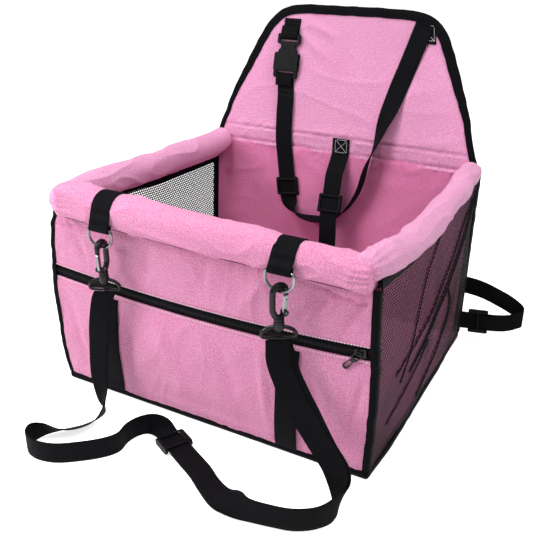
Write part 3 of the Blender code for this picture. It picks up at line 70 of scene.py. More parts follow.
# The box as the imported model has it; a slope is depth over height
FRONT_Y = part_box("front_panel")[0].y
SIDE_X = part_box("front_panel")[1].x
FOLD = next(j for j in frame["joints"] if j["name"] == "flap_fold")["pos_m"]
ZIP_CENTRE = next(j for j in frame["joints"] if j["name"] == "zip_slide")["pos_m"]
ZIP_RADIUS = 2.35719  # of the bow of the zip
BACK_SLOPE, FLAP_SLOPE = 0.05784, 0.25
PAD = 0.004  # thickness of the back wall and the flap
STRAP_THICK = 0.0014
BAND_HALF = Vector((0.01275, 0, 0))  # half width of the ring loops and the pocket bands
RING_X = 0.108  # distance of the ring loops from the middle
WALL_SEAM = 0.2325  # height where the wall's cloth ends and the flap's begins
FOLD_SEAMS = (0.2335, 0.2525)  # heights of the two stitched lines of the fold
TAPE_FOOT = 0.0105  # height where the upright tapes start
SIDES = ((-1, "left"), (1, "right"))
UP = Vector((0, 0, 1))


# Settings that the sidebar shows

def tint(name, description, default):
    """Colour that a user may change."""
    return bpy.props.FloatVectorProperty(name=name, description=description, subtype="COLOR", size=3,
                                         min=0.0, max=1.0, default=default)


def distance(name, description, low, high, default, digits=5):
    """Length that a user may change, in metres."""
    return bpy.props.FloatProperty(name=name, description=description, subtype="DISTANCE", unit="LENGTH",
                                   min=low, max=high, default=default, precision=digits)


def bearing(name, description, low, high, default):
    """Angle that a user may change."""
    return bpy.props.FloatProperty(name=name, description=description, subtype="ANGLE", unit="ROTATION",
                                   min=low, max=high, default=default)


def wattage(name, description, default):
    """Power of a lamp, in watts."""
    return bpy.props.FloatProperty(name=name, description=description, subtype="POWER", unit="POWER",
                                   min=0.0, default=default)


class ClothSettings(bpy.types.PropertyGroup):
    """Woven cloth of the walls, rim and flap."""
    colour: tint("Cloth colour", "Colour of the pink outer cloth", (0.93, 0.215, 0.49))
    # Pale colour that the weave's flecks and slubs are lightened towards: a painted highlight of the coating's
    # sheen.
    light: tint("Thread light", "Colour of the threads that stand up in the weave", (1.0, 0.6, 0.82))
    # A touch darker than the outer cloth: painted shade for the inside of the box.
    lining: tint("Inner colour", "Colour of the cloth inside the box", (0.93, 0.205, 0.48))
    weave: distance("Weave pitch", "Distance between two threads of the cloth", 0.0003, 0.003, 0.0009)
    thickness: distance("Cloth thickness", "Thickness of one wall", 0.0005, 0.004, 0.0018)


class WebbingSettings(bpy.types.PropertyGroup):
    """Straps and bindings."""
    colour: tint("Webbing colour", "Colour of the straps and bindings", (0.0026, 0.0026, 0.0032))
    width: distance("Strap width", "Width of the webbing", 0.015, 0.04, 0.025, 4)
    rib: distance("Rib pitch", "Distance between two ribs of the webbing", 0.0005, 0.004, 0.0016)
    binding: distance("Binding width", "Width of a binding on each face", 0.005, 0.015, 0.01, 4)


class NetSettings(bpy.types.PropertyGroup):
    """Mesh side walls."""
    colour: tint("Mesh colour", "Colour of the knitted mesh", (0.006, 0.005, 0.006))
    pitch: distance("Mesh pitch", "Distance between two holes", 0.002, 0.01, 0.0038)
    strand: distance("Strand width", "Width of the knitted strand between two holes", 0.0003, 0.004, 0.0024)


class HardwareSettings(bpy.types.PropertyGroup):
    """Metal and moulded fittings."""
    steel: tint("Ring colour", "Colour of the nickel of the rings and the gates", (0.24, 0.24, 0.25))
    coat: tint("Hook colour", "Colour of the black coating of the hooks", (0.004, 0.004, 0.0045))
    resin: tint("Plastic colour", "Colour of the buckle and the sliders", (0.004, 0.004, 0.0045))


class StitchSettings(bpy.types.PropertyGroup):
    """Sewing thread."""
    pink: tint("Pink thread", "Thread along the zip", (0.98, 0.74, 0.86))
    pale: tint("Pale thread", "Thread of the sewn crosses on the straps", (0.8, 0.78, 0.78))
    pitch: distance("Stitch pitch", "Distance from one stitch to the next", 0.001, 0.008, 0.0034)


class StageSettings(bpy.types.PropertyGroup):
    """Camera, floor and lamps."""
    lens: bpy.props.FloatProperty(
        name="Lens", description="Focal length for a 36 mm sensor", subtype="DISTANCE_CAMERA",
        unit="CAMERA", min=10.0, max=200.0, default=49.879)
    azimuth: bearing("Azimuth", "Angle of the camera to the right of the front", -math.pi, math.pi,
                     math.radians(28.79))
    elevation: bearing("Elevation", "Angle of the camera above the floor", 0.0, math.pi / 2, math.radians(24.69))
    roll: bearing("Roll", "Turn of the camera about its own axis", -0.2, 0.2, 0.00458)
    place: bpy.props.FloatVectorProperty(
        name="Camera place", description="Where the camera stands", subtype="TRANSLATION",
        unit="LENGTH", size=3, default=(0.40459, -0.74885, 0.51621))
    key: wattage("Key lamp", "Power of the large lamp at the upper left", 33.0)
    side: wattage("Side lamp", "Power of the near lamp at the left", 6.0)
    fill: wattage("Fill lamp", "Power of the high lamp at the right", 17.0)
    sky: bpy.props.FloatProperty(
        name="Sky", description="Strength of the even light from all around", min=0.0, max=2.0, default=0.38)


class DogSeatSettings(bpy.types.PropertyGroup):
    """All the settings of the seat."""
    cloth: bpy.props.PointerProperty(type=ClothSettings)
    webbing: bpy.props.PointerProperty(type=WebbingSettings)
    net: bpy.props.PointerProperty(type=NetSettings)
    hardware: bpy.props.PointerProperty(type=HardwareSettings)
    stitch: bpy.props.PointerProperty(type=StitchSettings)
    stage: bpy.props.PointerProperty(type=StageSettings)


def settings():
    return bpy.context.scene.dog_seat


# Shader nodes

def new_material(name):
    """Empty Principled material and its tree."""
    mat = bpy.data.materials.new(name)
    mat.use_nodes = True
    return mat, mat.node_tree


def node(tree, kind, values=None, **options):
    """Node of a kind; values set or link its inputs, options set its own fields."""
    new = tree.nodes.new(kind)
    for key, value in options.items():
        setattr(new, key, value)
    for key, value in (values or {}).items():
        if isinstance(value, bpy.types.NodeSocket):
            tree.links.new(value, new.inputs[key])
        else:
            new.inputs[key].default_value = value
    return new


def math_node(tree, operation, first, second=0.0):
    return node(tree, "ShaderNodeMath", {0: first, 1: second}, operation=operation).outputs[0]


def ramp(tree, value, *stops):
    """Colour ramp through (place, colour) stops."""
    new = node(tree, "ShaderNodeValToRGB", {0: value})
    elements = new.color_ramp.elements
    while len(elements) < len(stops):
        elements.new(0.5)
    for element, (place, colour) in zip(elements, stops):
        element.position = place
        element.color = (*colour, 1.0) if hasattr(colour, "__len__") else (colour, colour, colour, 1.0)
    return new.outputs[0]


def weighted(tree, *terms):
    """Sum of (value, weight) terms."""
    parts = [math_node(tree, "MULTIPLY", value, weight) for value, weight in terms]
    total = parts[0]
    for part in parts[1:]:
        total = math_node(tree, "ADD", total, part)
    return total


def toned(colour, share):
    """Darker or lighter colour."""
    return tuple(c * share for c in colour)


def blend_colour(tree, share, first, second):
    mix = node(tree, "ShaderNodeMix", data_type="RGBA")
    for index, value in ((0, share), (6, first), (7, second)):
        if isinstance(value, bpy.types.NodeSocket):
            tree.links.new(value, mix.inputs[index])
        else:
            mix.inputs[index].default_value = (*value, 1.0) if hasattr(value, "__len__") else value
    return mix.outputs[2]


def coordinates(tree, kind):
    return node(tree, "ShaderNodeTexCoord").outputs[kind]


def mapped(tree, place, **values):
    """Place stretched or moved by a Mapping node."""
    return node(tree, "ShaderNodeMapping", {"Vector": place, **values}).outputs[0]


def bands(tree, place, pitch, direction):
    """Smooth waves, one for each pitch."""
    return node(tree, "ShaderNodeTexWave", {"Vector": place, "Scale": math.pi / 10 / pitch, "Distortion": 0.0},
                wave_type="BANDS", bands_direction=direction).outputs["Fac"]


def grain(tree, place, scale, detail=2.0, roughness=0.5):
    return node(tree, "ShaderNodeTexNoise", {"Vector": place, "Scale": scale, "Detail": detail,
                                             "Roughness": roughness}).outputs["Fac"]


def finish_shader(tree, colour, roughness, height, distance, **fixed):
    """Set the Principled sockets of a finished material."""
    shader = tree.nodes["Principled BSDF"]
    bump = node(tree, "ShaderNodeBump", {"Height": height, "Distance": distance, "Strength": 1.0})
    tree.links.new(colour, shader.inputs["Base Color"])
    tree.links.new(roughness, shader.inputs["Roughness"])
    tree.links.new(bump.outputs[0], shader.inputs["Normal"])
    for key, value in fixed.items():
        shader.inputs[key.replace("_", " ")].default_value = value


def woven_cloth(name, colour, light, highlight_flecks=1.0):
    """Coated Oxford cloth: crossed threads and slubs, with pale flecks painted in as highlights where the coating
    catches light.
    """
    mat, tree = new_material(name)
    pitch = settings().cloth.weave
    place = coordinates(tree, "UV")
    check = node(tree, "ShaderNodeTexChecker", {"Vector": place, "Scale": 1 / pitch,
                                                "Color1": (1, 1, 1, 1), "Color2": (0, 0, 0, 1)}).outputs["Fac"]
    warp = bands(tree, place, pitch / 2, "X")
    weft = bands(tree, place, pitch / 2, "Y")
    threads = node(tree, "ShaderNodeMix", {0: check, 2: warp, 3: weft}, data_type="FLOAT").outputs[0]
    across = mapped(tree, place, Scale=(1.0, 0.16, 1.0))
    along = mapped(tree, place, Scale=(0.16, 1.0, 1.0))
    slubs = math_node(tree, "ADD", grain(tree, across, 640.0), grain(tree, along, 640.0))
    slubs = math_node(tree, "MULTIPLY", slubs, 0.5)
    highlight_fleck = grain(tree, place, 700.0, 3.0, 0.7)
    shade = grain(tree, mapped(tree, place, Location=(7.0, 3.0, 0.0)), 560.0, 3.0, 0.7)
    cloud = grain(tree, place, 14.0, 3.0)
    twill = math_node(tree, "MULTIPLY", bands(tree, place, pitch * 1.7, "DIAGONAL"),
                      bands(tree, across, pitch * 0.9, "X"))
    base = colour
    # Slubs and flecks are lightened towards the pale colour by the fleck share: painted highlight, strongest on
    # the outer cloth; the slubs are also real thread texture. The darker grain, cloud and twill terms that follow
    # are the cloth's own tone.
    for value, start, end, tone in (
            (slubs, (0.4, 0.0), (0.62, 0.5 * highlight_flecks), light),
            (highlight_fleck, (0.42, 0.0), (0.58, min(1.0, 0.95 * highlight_flecks)), light),
            (shade, (0.46, 0.0), (0.62, 0.72), toned(colour, 0.62)),
            (cloud, (0.38, 0.0), (0.72, 0.2), toned(colour, 0.8)),
            (twill, (0.25, 0.42), (0.75, 0.0), toned(colour, 0.66))):
        base = blend_colour(tree, ramp(tree, value, start, end), base, tone)
    rough = ramp(tree, highlight_fleck, (0.3, 0.7), (0.75, 0.46))
    height = weighted(tree, (threads, 0.6), (slubs, 0.9))
    finish_shader(tree, base, rough, height, 0.0003, Sheen_Weight=0.15 * highlight_flecks, Sheen_Roughness=0.4,
                  Specular_IOR_Level=0.3)
    return mat


def webbing(name, lift=1.0):
    """Black ribbed webbing: ribs across and twill inside them, with painted shade in the low threads, painted
    highlight on the high ones, and paler worn patches.
    """
    mat, tree = new_material(name)
    values = settings().webbing
    colour = toned(values.colour, lift)
    place = coordinates(tree, "UV")
    ribs = bands(tree, place, values.rib, "Y")
    cords = bands(tree, place, values.rib * 1.3, "X")
    twill = bands(tree, place, values.rib * 0.8, "DIAGONAL")
    fluff = grain(tree, place, 1100.0, 3.0, 0.6)
    height = weighted(tree, (ribs, 0.55), (twill, 0.35), (cords, 0.25), (fluff, 0.5))
    # Painted shade and highlight: the colour follows the bump's height, dark in the grooves and pale on the raised
    # ribs.
    shade = blend_colour(tree, ramp(tree, height, (0.45, 0.0), (1.25, 1.0)), toned(colour, 0.5),
                         toned(colour, 2.4))
    worn = ramp(tree, grain(tree, place, 60.0), (0.4, 0.0), (0.75, 0.35))
    shade = blend_colour(tree, worn, shade, toned(colour, 2.8))
    rough = ramp(tree, fluff, (0.3, 0.75), (0.7, 0.55))
    finish_shader(tree, shade, rough, height, 0.00035, Specular_IOR_Level=0.035)
    return mat


def knitted_net(name):
    """Soft black polyester thread of the mesh."""
    mat, tree = new_material(name)
    colour = tuple(settings().net.colour)
    place = coordinates(tree, "Object")
    twist = grain(tree, place, 2500.0, 2.0)
    shade = blend_colour(tree, ramp(tree, twist, (0.35, 0.0), (0.7, 1.0)), colour, toned(colour, 2.4))
    finish_shader(tree, shade, ramp(tree, twist, (0.3, 0.75), (0.7, 0.6)), twist, 0.0001, Specular_IOR_Level=0.07)
    return mat


def nickel(name):
    """Bright nickel plating with fine marks and duller patches."""
    mat, tree = new_material(name)
    colour = tuple(settings().hardware.steel)
    place = coordinates(tree, "Object")
    marks = grain(tree, place, 900.0, 4.0, 0.7)
    patch = grain(tree, place, 90.0, 3.0)
    shade = blend_colour(tree, ramp(tree, patch, (0.35, 0.0), (0.7, 1.0)), colour, toned(colour, 0.62))
    rough = ramp(tree, math_node(tree, "ADD", marks, patch), (0.6, 0.08), (1.4, 0.22))
    finish_shader(tree, shade, rough, marks, 0.00004, Metallic=1.0)
    return mat


def moulded(name, colour, rough_low, rough_high, shine=0.5):
    """Moulded plastic with a fine texture and faint flow marks."""
    mat, tree = new_material(name)
    place = coordinates(tree, "Object")
    fine = grain(tree, place, 1600.0, 3.0, 0.6)
    flow = grain(tree, place, 120.0, 3.0)
    lighter = tuple(min(1.0, c * 1.8) for c in colour)
    shade = blend_colour(tree, ramp(tree, flow, (0.35, 0.0), (0.7, 1.0)), colour, lighter)
    rough = ramp(tree, fine, (0.3, rough_low), (0.75, rough_high))
    finish_shader(tree, shade, rough, fine, 0.00006, Specular_IOR_Level=shine)
    return mat


def thread(name, colour):
    """Twisted sewing thread."""
    mat, tree = new_material(name)
    place = coordinates(tree, "Object")
    twist = grain(tree, place, 3000.0, 2.0)
    shade = blend_colour(tree, ramp(tree, twist, (0.35, 0.0), (0.65, 1.0)), toned(colour, 0.8), colour)
    finish_shader(tree, shade, ramp(tree, twist, (0.3, 0.6), (0.7, 0.45)), twist, 0.00008, Sheen_Weight=0.2)
    return mat


MATERIALS = {}


# Used to make the lit copy of the cloth, which is painted light.
def paler(colour, shares):
    """Colour with each part lifted by a share, up to full."""
    return tuple(min(1.0, c * share) for c, share in zip(colour, shares))


def finish_of(name):
    """Material of a name, made when it is first asked for."""
    if name not in MATERIALS:
        cloth, hardware, stitch = settings().cloth, settings().hardware, settings().stitch
        outer, light = tuple(cloth.colour), tuple(cloth.light)
        makers = {
            "pink_cloth": (woven_cloth, outer, light),
            # Lit copy of the pink cloth, paler and with brighter flecks: painted light for the flap and the side
            # rolls.
            "pale_cloth": (woven_cloth, paler(outer, (1.03, 1.3, 1.2)), paler(light, (1.0, 1.1, 1.06))),
            # Shaded copy of the pink cloth for the inside of the box, a touch darker and with fewer highlight
            # flecks: painted shade.
            "inner_cloth": (woven_cloth, tuple(cloth.lining), light, 0.45),
            "webbing": (webbing,),
            "tape": (webbing, 0.75),
            "net_thread": (knitted_net,),
            "nickel": (nickel,),
            "black_coat": (moulded, tuple(hardware.coat), 0.18, 0.32, 0.22),
            "black_plastic": (moulded, tuple(hardware.resin), 0.42, 0.6, 0.07),
            "teeth_plastic": (moulded, (0.006, 0.006, 0.007), 0.35, 0.5, 0.2),
            "white_pipe": (moulded, (0.62, 0.62, 0.6), 0.35, 0.5),
            "pink_thread": (thread, tuple(stitch.pink)),
            "pale_thread": (thread, tuple(stitch.pale)),
            # Cloth pink at about two thirds: the fold seams' thread, darkened with painted shade of the seam's
            # dip.
            "seam_thread": (thread, (0.62, 0.13, 0.3)),
            # Near-black pink for the line under the front roll: the seam's thread and painted shadow of its
            # crease.
            "rim_thread": (thread, (0.2, 0.025, 0.08)),
        }
        maker, *values = makers[name]
        MATERIALS[name] = maker(name, *values)
    return MATERIALS[name]


# Modelling tools

def only(obj):
    """Select one object alone and make it active."""
    bpy.ops.object.select_all(action="DESELECT")
    obj.select_set(True)
    bpy.context.view_layer.objects.active = obj


def modify(obj, kind, **values):
    """Add a modifier and apply it."""
    only(obj)
    mod = obj.modifiers.new(kind.lower(), kind)
    for key, value in values.items():
        setattr(mod, key, value)
    bpy.ops.object.modifier_apply(modifier=mod.name)


def grid(name, columns, rows, place, size):
    """Grid primitive moved point by point to place(u, v), its UV map in metres."""
    bpy.ops.object.select_all(action="DESELECT")
    bpy.ops.mesh.primitive_grid_add(x_subdivisions=columns, y_subdivisions=rows, size=1.0)
    obj = bpy.context.object
    obj.name = obj.data.name = name
    for point in obj.data.vertices:
        point.co = place(point.co.x + 0.5, point.co.y + 0.5)
    for corner in obj.data.uv_layers[0].data:
        corner.uv = (corner.uv[0] * size[0], corner.uv[1] * size[1])
    return obj


def weld(obj):
    """Merge the doubled points of a closed ring or pole."""
    only(obj)
    bpy.ops.object.mode_set(mode="EDIT")
    bpy.ops.mesh.select_all(action="SELECT")
    bpy.ops.mesh.remove_doubles(threshold=0.00002)
    bpy.ops.object.mode_set(mode="OBJECT")


def dress(obj, finish, body, slot, *nodes, angle=50.0):
    """Shade a piece smooth, give it its material and body, and hide the nodes that it stands for; slot is not
    used.
    """
    only(obj)
    bpy.ops.object.shade_smooth_by_angle(angle=math.radians(angle))
    obj.data.materials.clear()
    obj.data.materials.append(finish_of(finish))
    if body is not None:
        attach(obj, body)
    if nodes:
        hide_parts(*nodes)
    return obj


def sheet(name, columns, rows, place, size, thick, finish, slot, *nodes, body="carrier"):
    """Sheet of cloth with a thickness behind its face."""
    obj = grid(name, columns, rows, place, size)
    modify(obj, "SOLIDIFY", thickness=thick, offset=-1.0)
    return dress(obj, finish, body, slot, *nodes)


def joined(parts, name):
    """Join pieces into one object of a name."""
    only(parts[0])
    for part in parts[1:]:
        part.select_set(True)
    if len(parts) > 1:
        bpy.ops.object.join()
    obj = bpy.context.object
    obj.name = obj.data.name = name
    return obj


def across_fold(obj):
    """Bake the place of a piece of the wall or the flap into its points."""
    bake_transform(obj)


def clipped(value):
    return min(1.0, max(0.0, value))


def between(value, places, results):
    """Eased way from one result to the next through a small table."""
    if value <= places[0]:
        return results[0]
    for i in range(1, len(places)):
        if value <= places[i]:
            share = (value - places[i - 1]) / (places[i] - places[i - 1])
            share = share * share * (3 - 2 * share)
            return results[i - 1] + (results[i] - results[i - 1]) * share
    return results[-1]


def steps(start, span, count):
    """Even places from a start over a span, with both ends."""
    return [start + span * i / count for i in range(count + 1)]


def bell(value, centre, width):
    return math.exp(-((value - centre) / width) ** 2)


def ease(low, high, value):
    share = clipped((value - low) / (high - low))
    return share * share * (3 - 2 * share)


def ripple(x, y, seed, size, depth):
    """Soft unevenness of cloth: seed picks the pattern, size and depth are its scale."""
    point = Vector((x / size, y / size, seed))
    return depth * noise.noise(point + 0.6 * noise.noise_vector(point * 0.6))


def folds(x, y, seed, size, depth, along=0.0, stretch=0.4):
    """Sharp-backed wrinkles that run in one direction."""
    c, s = math.cos(along), math.sin(along)
    point = Vector(((x * c + y * s) * stretch / size, (y * c - x * s) / size, seed))
    value = noise.noise(point + 0.5 * noise.noise_vector(point * 0.7))
    return depth * (1.0 - min(1.0, abs(value) * 3.2)) ** 2


def crease(x, y, line):
    """Height of one listed crease (x0, y0, x1, y1, width, depth) at a point."""
    x0, y0, x1, y1, width, depth = line
    dx, dy = x1 - x0, y1 - y0
    length = dx * dx + dy * dy
    share = ((x - x0) * dx + (y - y0) * dy) / length
    held = clipped(share)
    apart = math.hypot(x - x0 - dx * held, y - y0 - dy * held)
    return depth * math.exp(-(apart / width) ** 2) * (0.35 + 0.65 * math.sin(math.pi * held))


def smooth(points, steps):
    """Catmull-Rom curve through points."""
    ends = [points[0]] + list(points) + [points[-1]]
    result = []
    for i in range(len(points) - 1):
        a, b, c, d = (Vector(p) for p in ends[i:i + 4])
        for k in range(steps):
            t = k / steps
            result.append(0.5 * (2 * b + (c - a) * t + (2 * a - 5 * b + 4 * c - d) * t * t
                                 + (3 * b - a - 3 * c + d) * t * t * t))
    result.append(Vector(points[-1]))
    return result


def measured(points):
    """Running length along points."""
    lengths = [0.0]
    for a, b in zip(points, points[1:]):
        lengths.append(lengths[-1] + (b - a).length)
    return lengths


def sweep(name, rows, profile, thick, body, *nodes, closed=False, offset=-1.0):
    """Tape with a profile of (a, b) swept along rows of (place, a direction, b direction)."""
    widths = measured([Vector((a, b, 0.0)) for a, b in profile])
    lengths = measured([Vector(row[0]) for row in rows])
    across, along = len(profile) - 1, len(rows) - 1

    def place(u, v):
        origin, first, second = rows[round(v * along)]
        a, b = profile[round(u * across)]
        return Vector(origin) + first * a + second * b

    obj = grid(name, across, along, place, (widths[-1], lengths[-1]))
    if closed:
        weld(obj)
    modify(obj, "SOLIDIFY", thickness=thick, offset=offset, use_even_offset=True)
    return dress(obj, "tape", body, "webbing", *nodes)


def ribbon(name, rows, body, *nodes):
    """Webbing along rows of (centre, half width vector), its edges bevelled."""
    count = len(rows) - 1

    def place(u, v):
        centre, half = rows[round(v * count)]
        return centre + half * (2 * u - 1)

    length = measured([place for place, _ in rows])[-1]
    obj = grid(name, 6, count, place, (2 * rows[0][1].length, length))
    modify(obj, "SOLIDIFY", thickness=STRAP_THICK, offset=0.0)
    modify(obj, "BEVEL", width=STRAP_THICK * 0.3, segments=2, limit_method="ANGLE",
           angle_limit=math.radians(60.0))
    return dress(obj, "webbing", body, "webbing", *nodes)


def strap_rows(route):
    """Rows of a strap from a route of (place, width direction)."""
    half = settings().webbing.width / 2
    places = smooth([place for place, _ in route], 5)
    across = smooth([Vector(way) for _, way in route], 5)
    return [(place, way.normalized() * half) for place, way in zip(places, across)]


def follow(obj, points, count, pitch):
    """Repeat a shape along a line of points."""
    data = bpy.data.curves.new("line", "CURVE")
    data.dimensions = "3D"
    spline = data.splines.new("POLY")
    spline.points.add(len(points) - 1)
    for point, at in zip(spline.points, points):
        point.co = (*at, 1.0)
    path = bpy.data.objects.new("line", data)
    bpy.context.scene.collection.objects.link(path)
    modify(obj, "ARRAY", count=count, use_relative_offset=False, use_constant_offset=True,
           constant_offset_displace=(pitch, 0.0, 0.0))
    modify(obj, "CURVE", object=path, deform_axis="POS_X")
    bpy.data.objects.remove(path, do_unlink=True)


def stitches(name, lines, body, finish="pink_thread", slot="webbing", pitch=None, size=0.0004, share=0.68):
    """Dashed seams along lines of points: one stitch is made, then repeated along each line."""
    pitch = pitch or settings().stitch.pitch
    rows = []
    for points in lines:
        total = measured([Vector(p) for p in points])[-1]
        bpy.ops.object.select_all(action="DESELECT")
        bpy.ops.mesh.primitive_uv_sphere_add(segments=6, ring_count=4, radius=1.0,
                                             rotation=(0.0, math.pi / 2, 0.0))
        row = bpy.context.object
        half = pitch * share / 2
        row.data.transform(Matrix.Translation((pitch / 2, 0.0, 0.0)) @ Matrix.Diagonal((half, size, size, 1.0))
                           @ row.matrix_world)
        row.matrix_world = Matrix.Identity(4)
        follow(row, points, max(1, int(total / pitch)), pitch)
        rows.append(row)
    return dress(joined(rows, name), finish, body, slot)


# Lines of the box that several pieces share

def wall_y(z):
    """Middle of the back panel at a height."""
    return FOLD[1] + (z - FOLD[2]) * BACK_SLOPE


def zip_z(x):
    """Middle of the zip, which sags between the corners."""
    return ZIP_CENTRE[2] - math.sqrt(ZIP_RADIUS ** 2 - x * x)


def seam_z(x):
    """Seam between the front panel and its roll."""
    return between(x, (-0.2, -0.187, 0.074, 0.178, 0.2), (0.2225, 0.222, 0.2155, 0.2142, 0.214))


def corner_x(side, z):
    """Edge of the front at a height: the left one bows outwards over the pocket and is drawn in at the rim."""
    if side > 0:
        return SIDE_X + between(z, (0.0, 0.015, 0.05, 0.092, 0.13, 0.165, 0.197, 0.212),
                                (0.0035, 0.0028, 0.0043, 0.0055, 0.0047, 0.0027, 0.002, 0.0018))
    return -SIDE_X - between(z, (0.004, 0.012, 0.03, 0.047, 0.068, 0.122, 0.175, 0.205, 0.222),
                             (0.0004, 0.0016, 0.0062, 0.0084, 0.0092, 0.0112, 0.0072, 0.003, -0.0035))


def base_out(y):
    """How far the right edge of the base bows out."""
    return between(y, (-0.17, -0.11, 0.058, 0.141, 0.17), (0.0028, 0.0055, 0.003, 0.0, -0.0005))


FRONT_CREASES = (
    (-0.17, 0.205, -0.15, 0.168, 0.006, -0.0016), (-0.06, 0.212, -0.072, 0.16, 0.007, -0.0018),
    (0.015, 0.21, 0, 0.165, 0.008, -0.0014), (0.085, 0.208, 0.06, 0.17, 0.006, 0.0016),
    (0.15, 0.21, 0.118, 0.16, 0.006, -0.0022), (0.168, 0.212, 0.14, 0.172, 0.004, 0.0018),
    (0.19, 0.205, 0.165, 0.16, 0.005, -0.002), (-0.14, 0.2, -0.09, 0.192, 0.004, 0.0012),
    (0.12, 0.209, 0.197, 0.1965, 0.0022, -0.0018), (-0.198, 0.207, -0.12, 0.2115, 0.0022, -0.0018),
    (0.186, 0.212, 0.176, 0.194, 0.0018, 0.0016), (0.174, 0.212, 0.163, 0.197, 0.0018, 0.0014),
    (0.16, 0.211, 0.15, 0.199, 0.0018, 0.0012), (0.194, 0.209, 0.189, 0.19, 0.0018, 0.0016),
    (-0.188, 0.216, -0.184, 0.203, 0.0018, 0.0013), (-0.176, 0.217, -0.171, 0.204, 0.0018, 0.0013),
    (-0.163, 0.217, -0.158, 0.205, 0.0018, 0.0011), (-0.15, 0.217, -0.146, 0.207, 0.0018, 0.001),
)
POCKET_CREASES = (
    (-0.19, 0.12, -0.165, 0.03, 0.006, -0.0016), (-0.15, 0.128, -0.143, 0.06, 0.005, 0.0014),
    (-0.1, 0.12, -0.092, 0.04, 0.006, -0.002), (-0.06, 0.12, -0.02, 0.03, 0.01, 0.0016),
    (0.02, 0.118, 0.06, 0.025, 0.009, -0.0018), (0.075, 0.12, 0.088, 0.03, 0.005, 0.0018),
    (0.13, 0.122, 0.15, 0.03, 0.007, -0.0026), (0.155, 0.115, 0.178, 0.04, 0.005, 0.0022),
    (0.14, 0.045, 0.19, 0.018, 0.005, 0.0018), (0.19, 0.12, 0.18, 0.06, 0.004, -0.0018),
    (-0.08, 0.022, 0.08, 0.016, 0.006, 0.0014),
)


def edge_share(x, z):
    """Fades what lies near the two upright edges of the front."""
    return ease(0.002, 0.014, corner_x(1, z) - x) * ease(0.002, 0.014, x - corner_x(-1, z))


def front_face(x, z):
    """Outer face of the front panel above the zip."""
    low, high = zip_z(x) + 0.0075, seam_z(x)
    share = clipped((z - low) / (high - low))
    swell = 0.0022 * math.sin(math.pi * share) * max(0.0, 1 - (x / SIDE_X) ** 4)
    rough = 1.6 * sum(crease(x, z, line) for line in FRONT_CREASES)
    rough += ripple(x, z * 0.6, 3.1, 0.04, 0.0022) + folds(x, z, 5.2, 0.024, 0.0009, 1.35)
    pull = folds(x, z, 8.4, 0.011, 0.0016, 1.5) * ease(high - 0.024, high, z)
    return FRONT_Y - 0.0006 - swell - (rough + pull) * (ease(0.0, 0.1, share) * edge_share(x, z))


def pocket_face(x, z):
    """Outer face of the pocket under the zip, fuller towards the floor."""
    low, high = 0.004, zip_z(x) - 0.0075
    share = clipped((z - low) / (high - low))
    swell = 0.0062 * math.sin(math.pi * share ** 0.72) * max(0.0, 1 - abs(x / SIDE_X) ** 3)
    rough = 1.6 * sum(crease(x, z, line) for line in POCKET_CREASES)
    rough += ripple(x, z, 6.7, 0.045, 0.0024) + folds(x, z, 2.2, 0.03, 0.0009, 1.2)
    pull = folds(x, z, 4.4, 0.01, 0.0013, 1.5) * ease(0.03, 0.008, z)
    rim = ease(0.0, 0.12, min(share, 1 - share)) * edge_share(x, z)
    return FRONT_Y - 0.0006 - swell - (rough + pull) * rim


ROLL_ENDS = (-0.1762, 0.195)


def roll_radius(x):
    """Radius of the front roll: fuller at the left, pinched at the ring loops, gathered at its ends."""
    radius = between(x, (-0.2, -0.107, -0.005, 0.084, 0.149, 0.2),
                     (0.0205, 0.0198, 0.019, 0.0182, 0.0172, 0.017))
    radius -= 0.0011 * (bell(x, -RING_X, 0.013) + bell(x, RING_X, 0.013))
    radius += 0.0004 * (bell(x, -0.078, 0.012) + bell(x, -0.14, 0.012) + bell(x, 0.078, 0.012)
                        + bell(x, 0.14, 0.012))
    return radius


def roll_centre(x):
    """Middle of the front roll over its seam."""
    return FRONT_Y + 0.0005, seam_z(x) + roll_radius(x) * 0.97


SIDE_ROLLS = {
    -1: {"x": ((-0.176, -0.15, -0.05, 0.08, 0.18), (0.1795, 0.1833, 0.1863, 0.187, 0.185)),
         "z": ((-0.176, -0.093, -0.025, 0.025, 0.151, 0.18), (0.235, 0.236, 0.2318, 0.2285, 0.2265, 0.229)),
         "r": ((-0.176, -0.14, -0.093, -0.025, 0.151, 0.18), (0.0178, 0.018, 0.0183, 0.0174, 0.0172, 0.016))},
    1: {"x": ((-0.176, -0.12, -0.03, 0.08, 0.18), (0.1865, 0.191, 0.1925, 0.192, 0.187)),
        "z": ((-0.176, -0.135, -0.105, -0.075, -0.015, 0.015, 0.045, 0.105, 0.135, 0.18),
              (0.237, 0.2335, 0.2285, 0.225, 0.2238, 0.2245, 0.2275, 0.23, 0.2335, 0.234)),
        "r": ((-0.176, -0.135, -0.105, -0.075, -0.015, 0.045, 0.105, 0.18),
              (0.015, 0.0165, 0.016, 0.0156, 0.0153, 0.0145, 0.0138, 0.0135))},
}


def side_roll(side, y):
    """Middle and radius of a side roll at a depth."""
    table = SIDE_ROLLS[side]
    return side * between(y, *table["x"]), between(y, *table["z"]), between(y, *table["r"])


FLAP_EDGE = (
    (0.2325, 0.1955), (0.24, 0.1925), (0.254, 0.1868), (0.264, 0.1832), (0.273, 0.18), (0.288, 0.1757),
    (0.305, 0.1695), (0.321, 0.1621), (0.352, 0.1481), (0.369, 0.1397), (0.386, 0.1312), (0.394, 0.1257),
    (0.403, 0.1173), (0.4095, 0.1076), (0.414, 0.095), (0.417, 0.08),
)


def flap_half(z):
    """Half width of the flap at a height."""
    for (z0, h0), (z1, h1) in zip(FLAP_EDGE, FLAP_EDGE[1:]):
        if z <= z1:
            return h0 + (h1 - h0) * (z - z0) / (z1 - z0)
    return FLAP_EDGE[-1][1]


